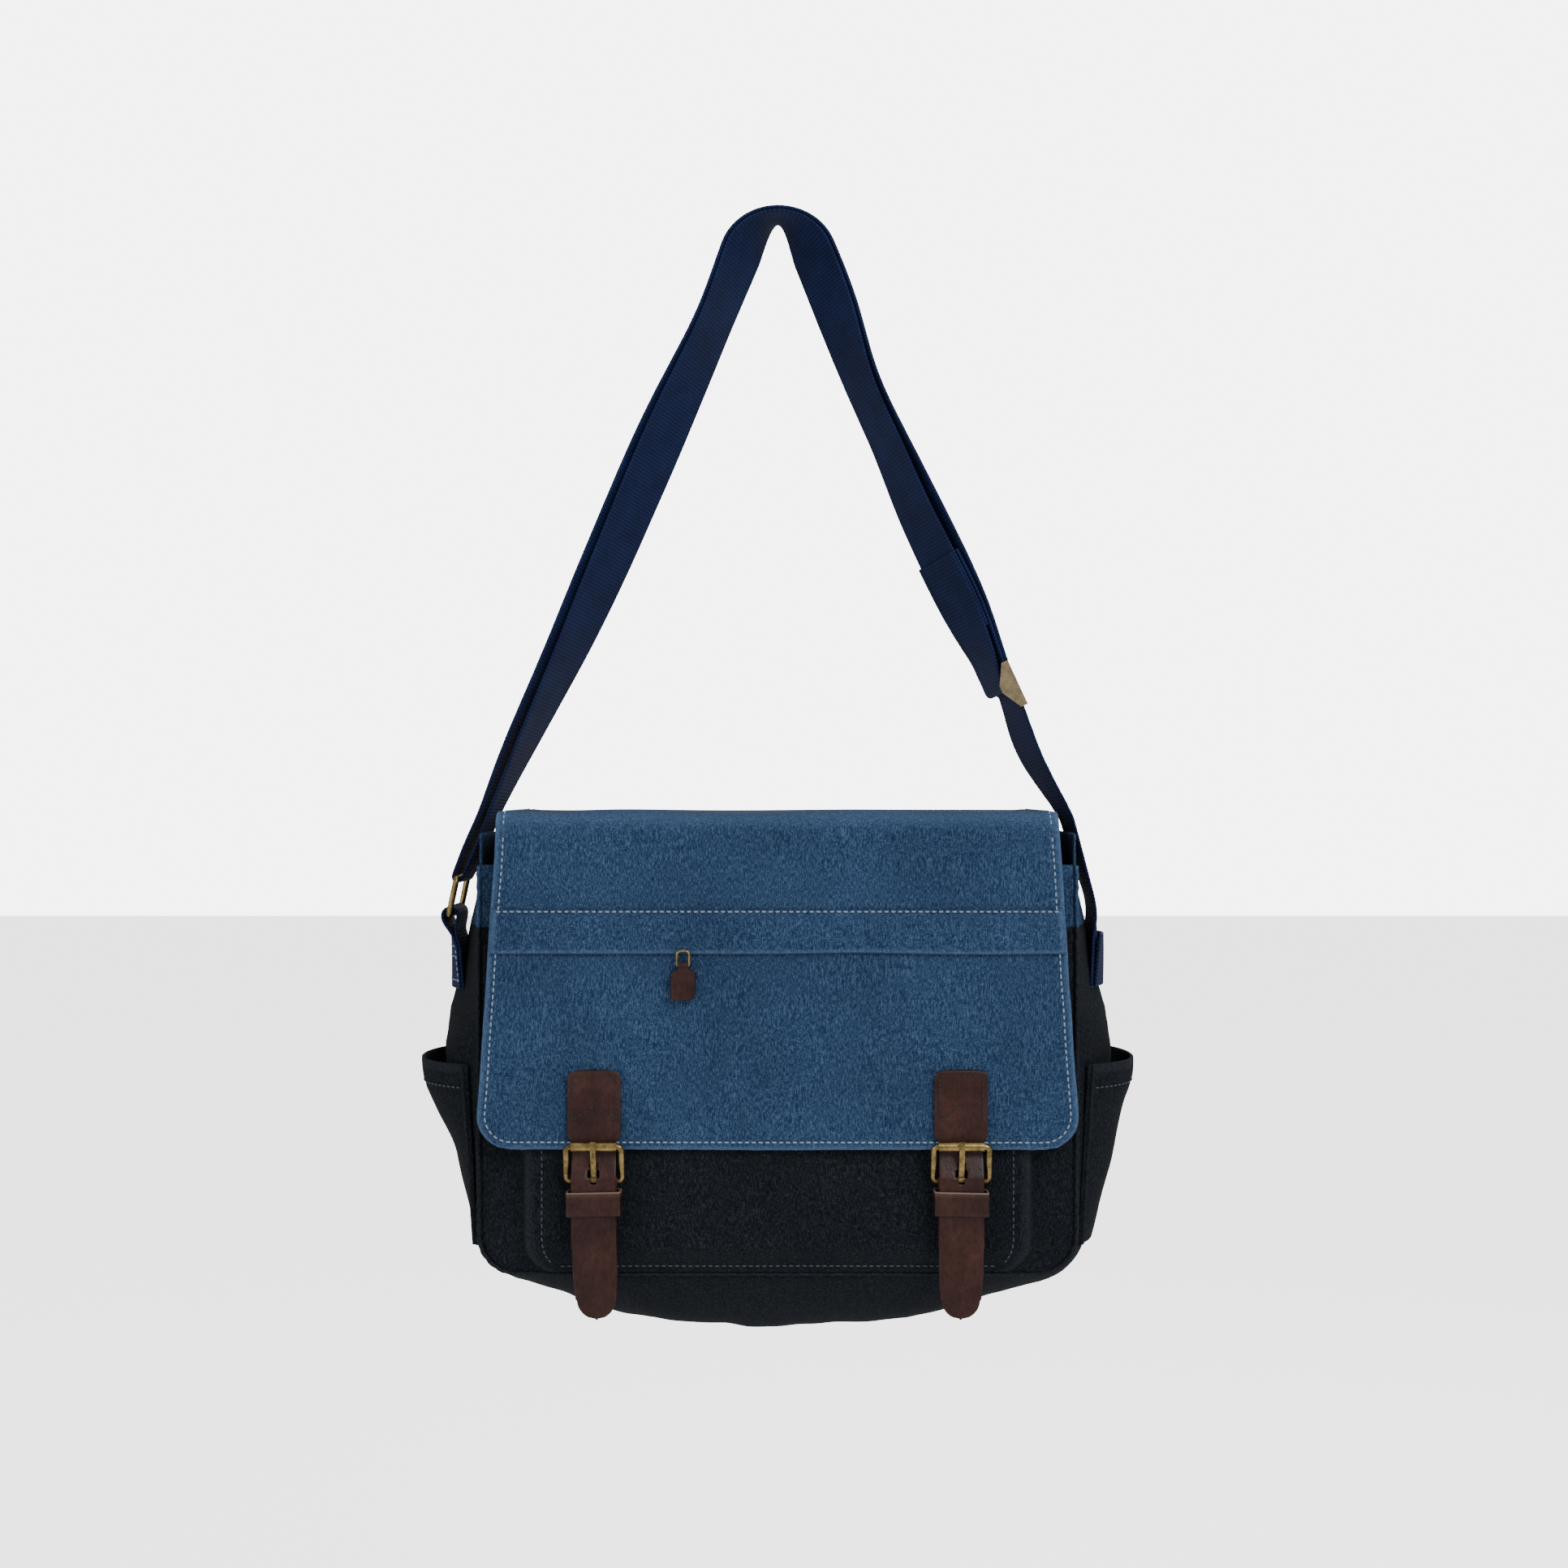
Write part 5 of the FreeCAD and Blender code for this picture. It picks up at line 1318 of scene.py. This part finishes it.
def keeper(side, centre_x):
    """The leather loop round the strap and the chape; its top rim has a pale cut-edge colour that is also a
    painted highlight.
    """
    low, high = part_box(side + "_keeper")
    half_x = (high[0] - low[0]) / 2 - KEEPER_WALL * MM
    half_y = (high[1] - low[1]) / 2 - KEEPER_WALL * MM
    mid_y = (high[1] + low[1]) / 2
    count = 84
    turn = np.linspace(0, 2 * math.pi, count, endpoint=False)
    power = 0.2
    ring_x = np.sign(np.cos(turn)) * np.abs(np.cos(turn)) ** power * half_x
    ring_y = np.sign(np.sin(turn)) * np.abs(np.sin(turn)) ** power * half_y
    ring_x = np.clip(ring_x, -half_x, half_x)
    heights = np.array([0.0, 0.02, 0.06, 0.25, 0.5, 0.75, 0.94, 0.98, 1.0])
    swell = np.array([-0.45, -0.1, 0.1, 0.0, -0.05, 0.0, 0.1, -0.1, -0.45]) * MM
    vertices, faces, top_rim_highlight = [], [], []
    # up the outside of the loop, then down its inside
    order = [(h, s, KEEPER_WALL) for h, s in zip(heights, swell)]
    order += [(h, -s, -KEEPER_WALL) for h, s in zip(heights[::-1], swell)]
    for share, grow, side_of in order:
        # painted highlight: the pale cut-edge colour goes only on the top rim and just below it, where light
        # catches the loop; the lower rim stays dark
        rim_highlight = {1.0: 1.0, 0.98: 0.9, 0.94: 0.15}.get(round(float(share), 2), 0.0)
        for k in range(count):
            scale_x = (half_x + side_of * MM + grow) / half_x
            scale_y = (half_y + side_of * MM + grow) / half_y
            slant = 0.6 * MM * ring_x[k] / half_x * (1 if centre_x < 0 else -1)
            vertices.append((centre_x + ring_x[k] * scale_x, mid_y + ring_y[k] * scale_y,
                             low[2] + share * (high[2] - low[2]) + slant * 0.5))
            top_rim_highlight.append(rim_highlight)
    rings = len(order)
    for i in range(rings):
        for k in range(count):
            a, b = i * count + k, i * count + (k + 1) % count
            c, d = ((i + 1) % rings) * count + (k + 1) % count, ((i + 1) % rings) * count + k
            faces.append((a, b, c, d))
    piece = new_object(side + "_keeper_hide", vertices, faces)
    set_attribute(piece, "wear", 0)
    # the top rim's painted highlight, in a pale cut-edge colour
    set_attribute(piece, "raw_edge_and_highlight", np.array(top_rim_highlight) * 0.8)
    finish_piece(piece, LEATHER, side + "_keeper", "leather", side + "_keeper")


CHAPE_RUN = 42 * MM
CHAPE_CORNER = 6 * MM


def chape(side, centre_x):
    """The chape's two layers behind the strap, with rounded cut edges."""
    turn = 2.8 * MM
    front = 1.0 * MM + turn
    back = 1.0 * MM - turn
    behind = front - 1.7 * MM
    corners = [(front, -CHAPE_RUN), (front, turn), (back, turn), (back, -6 * MM), (behind, -17 * MM),
               (behind, -CHAPE_RUN)]
    path = rounded_path(corners, [turn * 0.99, turn * 0.99, 5 * MM, 5 * MM], 0.7 * MM)
    share = np.sin(np.linspace(-0.5, 0.5, 21) * math.pi)
    up, shares = np.meshgrid(path[:, 1], share, indexing="ij")
    forward = np.broadcast_to(path[:, 0][:, None], up.shape)
    close = np.clip(CHAPE_CORNER - (up + CHAPE_RUN), 0, CHAPE_CORNER)
    half = STRAP_HALF * MM - CHAPE_CORNER + np.sqrt(CHAPE_CORNER ** 2 - close ** 2)
    grid = np.stack([centre_x + shares * half, FLAP_FACE - forward, HEEL_Z + up], axis=-1)
    normal = surface_normals(grid)
    outward = normal[3, 10][1] > 0
    if outward:
        normal = -normal
    grid = grid + normal * 0.8 * MM
    piece = sheet_mesh(side + "_chape_hide", grid, 1.6 * MM, flip=bool(outward))
    cut_hole(piece, lambda place: abs(place.x - centre_x) < 3.0 * MM and place.z > HEEL_Z - 7.5 * MM)
    set_attribute(piece, "wear", 0)
    finish_piece(piece, LEATHER, "flap", "leather", side + "_chape")


for side, centre_x in (("left", BUCKLE_X), ("right", -BUCKLE_X)):
    billet(side, centre_x)
    keeper(side, centre_x)
    chape(side, centre_x)

# zip pull: a leather strip folded through its link
PULL_LOW, PULL_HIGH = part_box("zip_pull_leather")
pull_x = (PULL_LOW[0] + PULL_HIGH[0]) / 2
pull_y = (PULL_LOW[1] + PULL_HIGH[1]) / 2
pull_half = (PULL_HIGH[0] - PULL_LOW[0]) / 2
pull_top = PULL_HIGH[2] - 0.7 * MM
pull_run = PULL_LOW[2] + 0.3 * MM
shoulder = pull_top - 5 * MM
pull_path = [(2.0 * MM, pull_run), (1.5 * MM, pull_run + 5 * MM), (1.6 * MM, pull_run + 10 * MM),
             (2.0 * MM, shoulder - 1 * MM), (2.0 * MM, shoulder + 0.5 * MM), (1.9 * MM, pull_top - 2 * MM)]
pull_path += [(2.0 * MM * math.cos(t), pull_top - 2 * MM + 2.0 * MM * math.sin(t))
              for t in np.linspace(0.2, math.pi - 0.2, 9)]
pull_path += [(-forward, up) for forward, up in pull_path[5::-1]]
pull_path = resample(np.array([(forward, up, 0.0) for forward, up in pull_path]), 0.7 * MM)
narrow = smooth_step(pull_path[:, 1], shoulder - 1.2 * MM, shoulder + 1.2 * MM)
PULL_CORNER = 1.6 * MM
NECK_HALF = 2.5 * MM
near_end = np.clip(PULL_CORNER - (pull_path[:, 1] - pull_run), 0, PULL_CORNER)
half_widths = pull_half + (NECK_HALF - pull_half) * narrow
half_widths = half_widths - PULL_CORNER + np.sqrt(PULL_CORNER ** 2 - near_end ** 2)
pull_share = np.sin(np.linspace(-0.5, 0.5, 13) * math.pi)
pull_grid = np.stack([
    pull_x + half_widths[:, None] * pull_share[None, :],
    np.broadcast_to((pull_y - pull_path[:, 0])[:, None], (len(pull_path), 13)),
    np.broadcast_to(pull_path[:, 1][:, None], (len(pull_path), 13)),
], axis=-1)
pull = sheet_mesh("zip_pull_hide", pull_grid, 1.3 * MM)
set_attribute(pull, "wear", 0.1)
finish_piece(pull, LEATHER, "zip_pull", "leather", "zip_pull_leather")


# ---------------------------------------------------------------------------
# camera, light and the pale stage
# ---------------------------------------------------------------------------

def stage_sheet(name, corners):
    """A plain pale surface."""
    piece = new_object(name, corners, [(0, 1, 2, 3)], smooth=False)
    material, tree, shader = node_material(name + "_paint", 0.9)
    shade = noise_value(tree, (2, 2, 2), detail=2.0)
    tree.links.new(ramp(tree, shade, [(0.3, (0.88, 0.88, 0.88)), (0.7, (0.90, 0.90, 0.90))]),
                   shader.inputs["Base Color"])
    # the surface looks white to the camera and adds no light of its own
    seen_by_camera = add_node(tree, "ShaderNodeLightPath").outputs["Is Camera Ray"]
    shader.inputs["Emission Color"].default_value = (1, 1, 1, 1)
    tree.links.new(combine(tree, "MULTIPLY", seen_by_camera, 2.6), shader.inputs["Emission Strength"])
    piece.data.materials.append(material)


FLOOR_Z = -1.15
FLOOR_HALF = 12
stage_sheet("floor", [(x * FLOOR_HALF, y * FLOOR_HALF, FLOOR_Z)
                      for x, y in ((-1, -1), (1, -1), (1, 1), (-1, 1))])

camera_data = bpy.data.cameras.new("camera")
camera = bpy.data.objects.new("camera", camera_data)
bpy.context.scene.collection.objects.link(camera)
EYE_Y = -1.265
EYE_Z = -0.3334
EYE_X = 0.0036
# the frame's width, this far in front of the camera
VIEW_WIDTH = 0.879
VIEW_DISTANCE = 1.2
SENSOR = 36
camera_data.sensor_width = SENSOR
camera_data.lens = SENSOR * VIEW_DISTANCE / VIEW_WIDTH
camera.location = (EYE_X, EYE_Y, EYE_Z)
camera.rotation_euler = (math.pi / 2, 0, 0)
camera_data.clip_start = 0.05
bpy.context.scene.camera = camera


def area_light(name, place, target, power, width):
    """A soft light that faces a point."""
    data = bpy.data.lights.new(name, "AREA")
    data.energy = power
    data.shape = "RECTANGLE"
    data.size = width
    data.size_y = width
    lamp = bpy.data.objects.new(name, data)
    lamp.location = place
    lamp.rotation_euler = (Vector(target) - Vector(place)).to_track_quat("-Z", "Y").to_euler()
    bpy.context.scene.collection.objects.link(lamp)


AIM = (0, 0, -0.40)
area_light("key", (1.2, -1.9, 1.1), AIM, 42, 1.4)
area_light("fill", (-1.7, -1.7, 0.1), AIM, 14, 1.8)
area_light("top", (0.1, 0.1, 1.6), AIM, 9, 1.2)
area_light("rim", (0.6, 1.6, 0.4), AIM, 8, 1.2)

# the studio is white to look at and gives a soft even light
LIGHT_STRENGTH = 0.38
BACKDROP_STRENGTH = 6.0
world = bpy.data.worlds.new("studio")
world.use_nodes = True
seen = add_node(world.node_tree, "ShaderNodeLightPath").outputs["Is Camera Ray"]
brightness = map_range(world.node_tree, seen, LIGHT_STRENGTH, BACKDROP_STRENGTH)
backdrop = world.node_tree.nodes["Background"]
backdrop.inputs["Color"].default_value = (1, 1, 1, 1)
world.node_tree.links.new(brightness, backdrop.inputs["Strength"])
bpy.context.scene.world = world
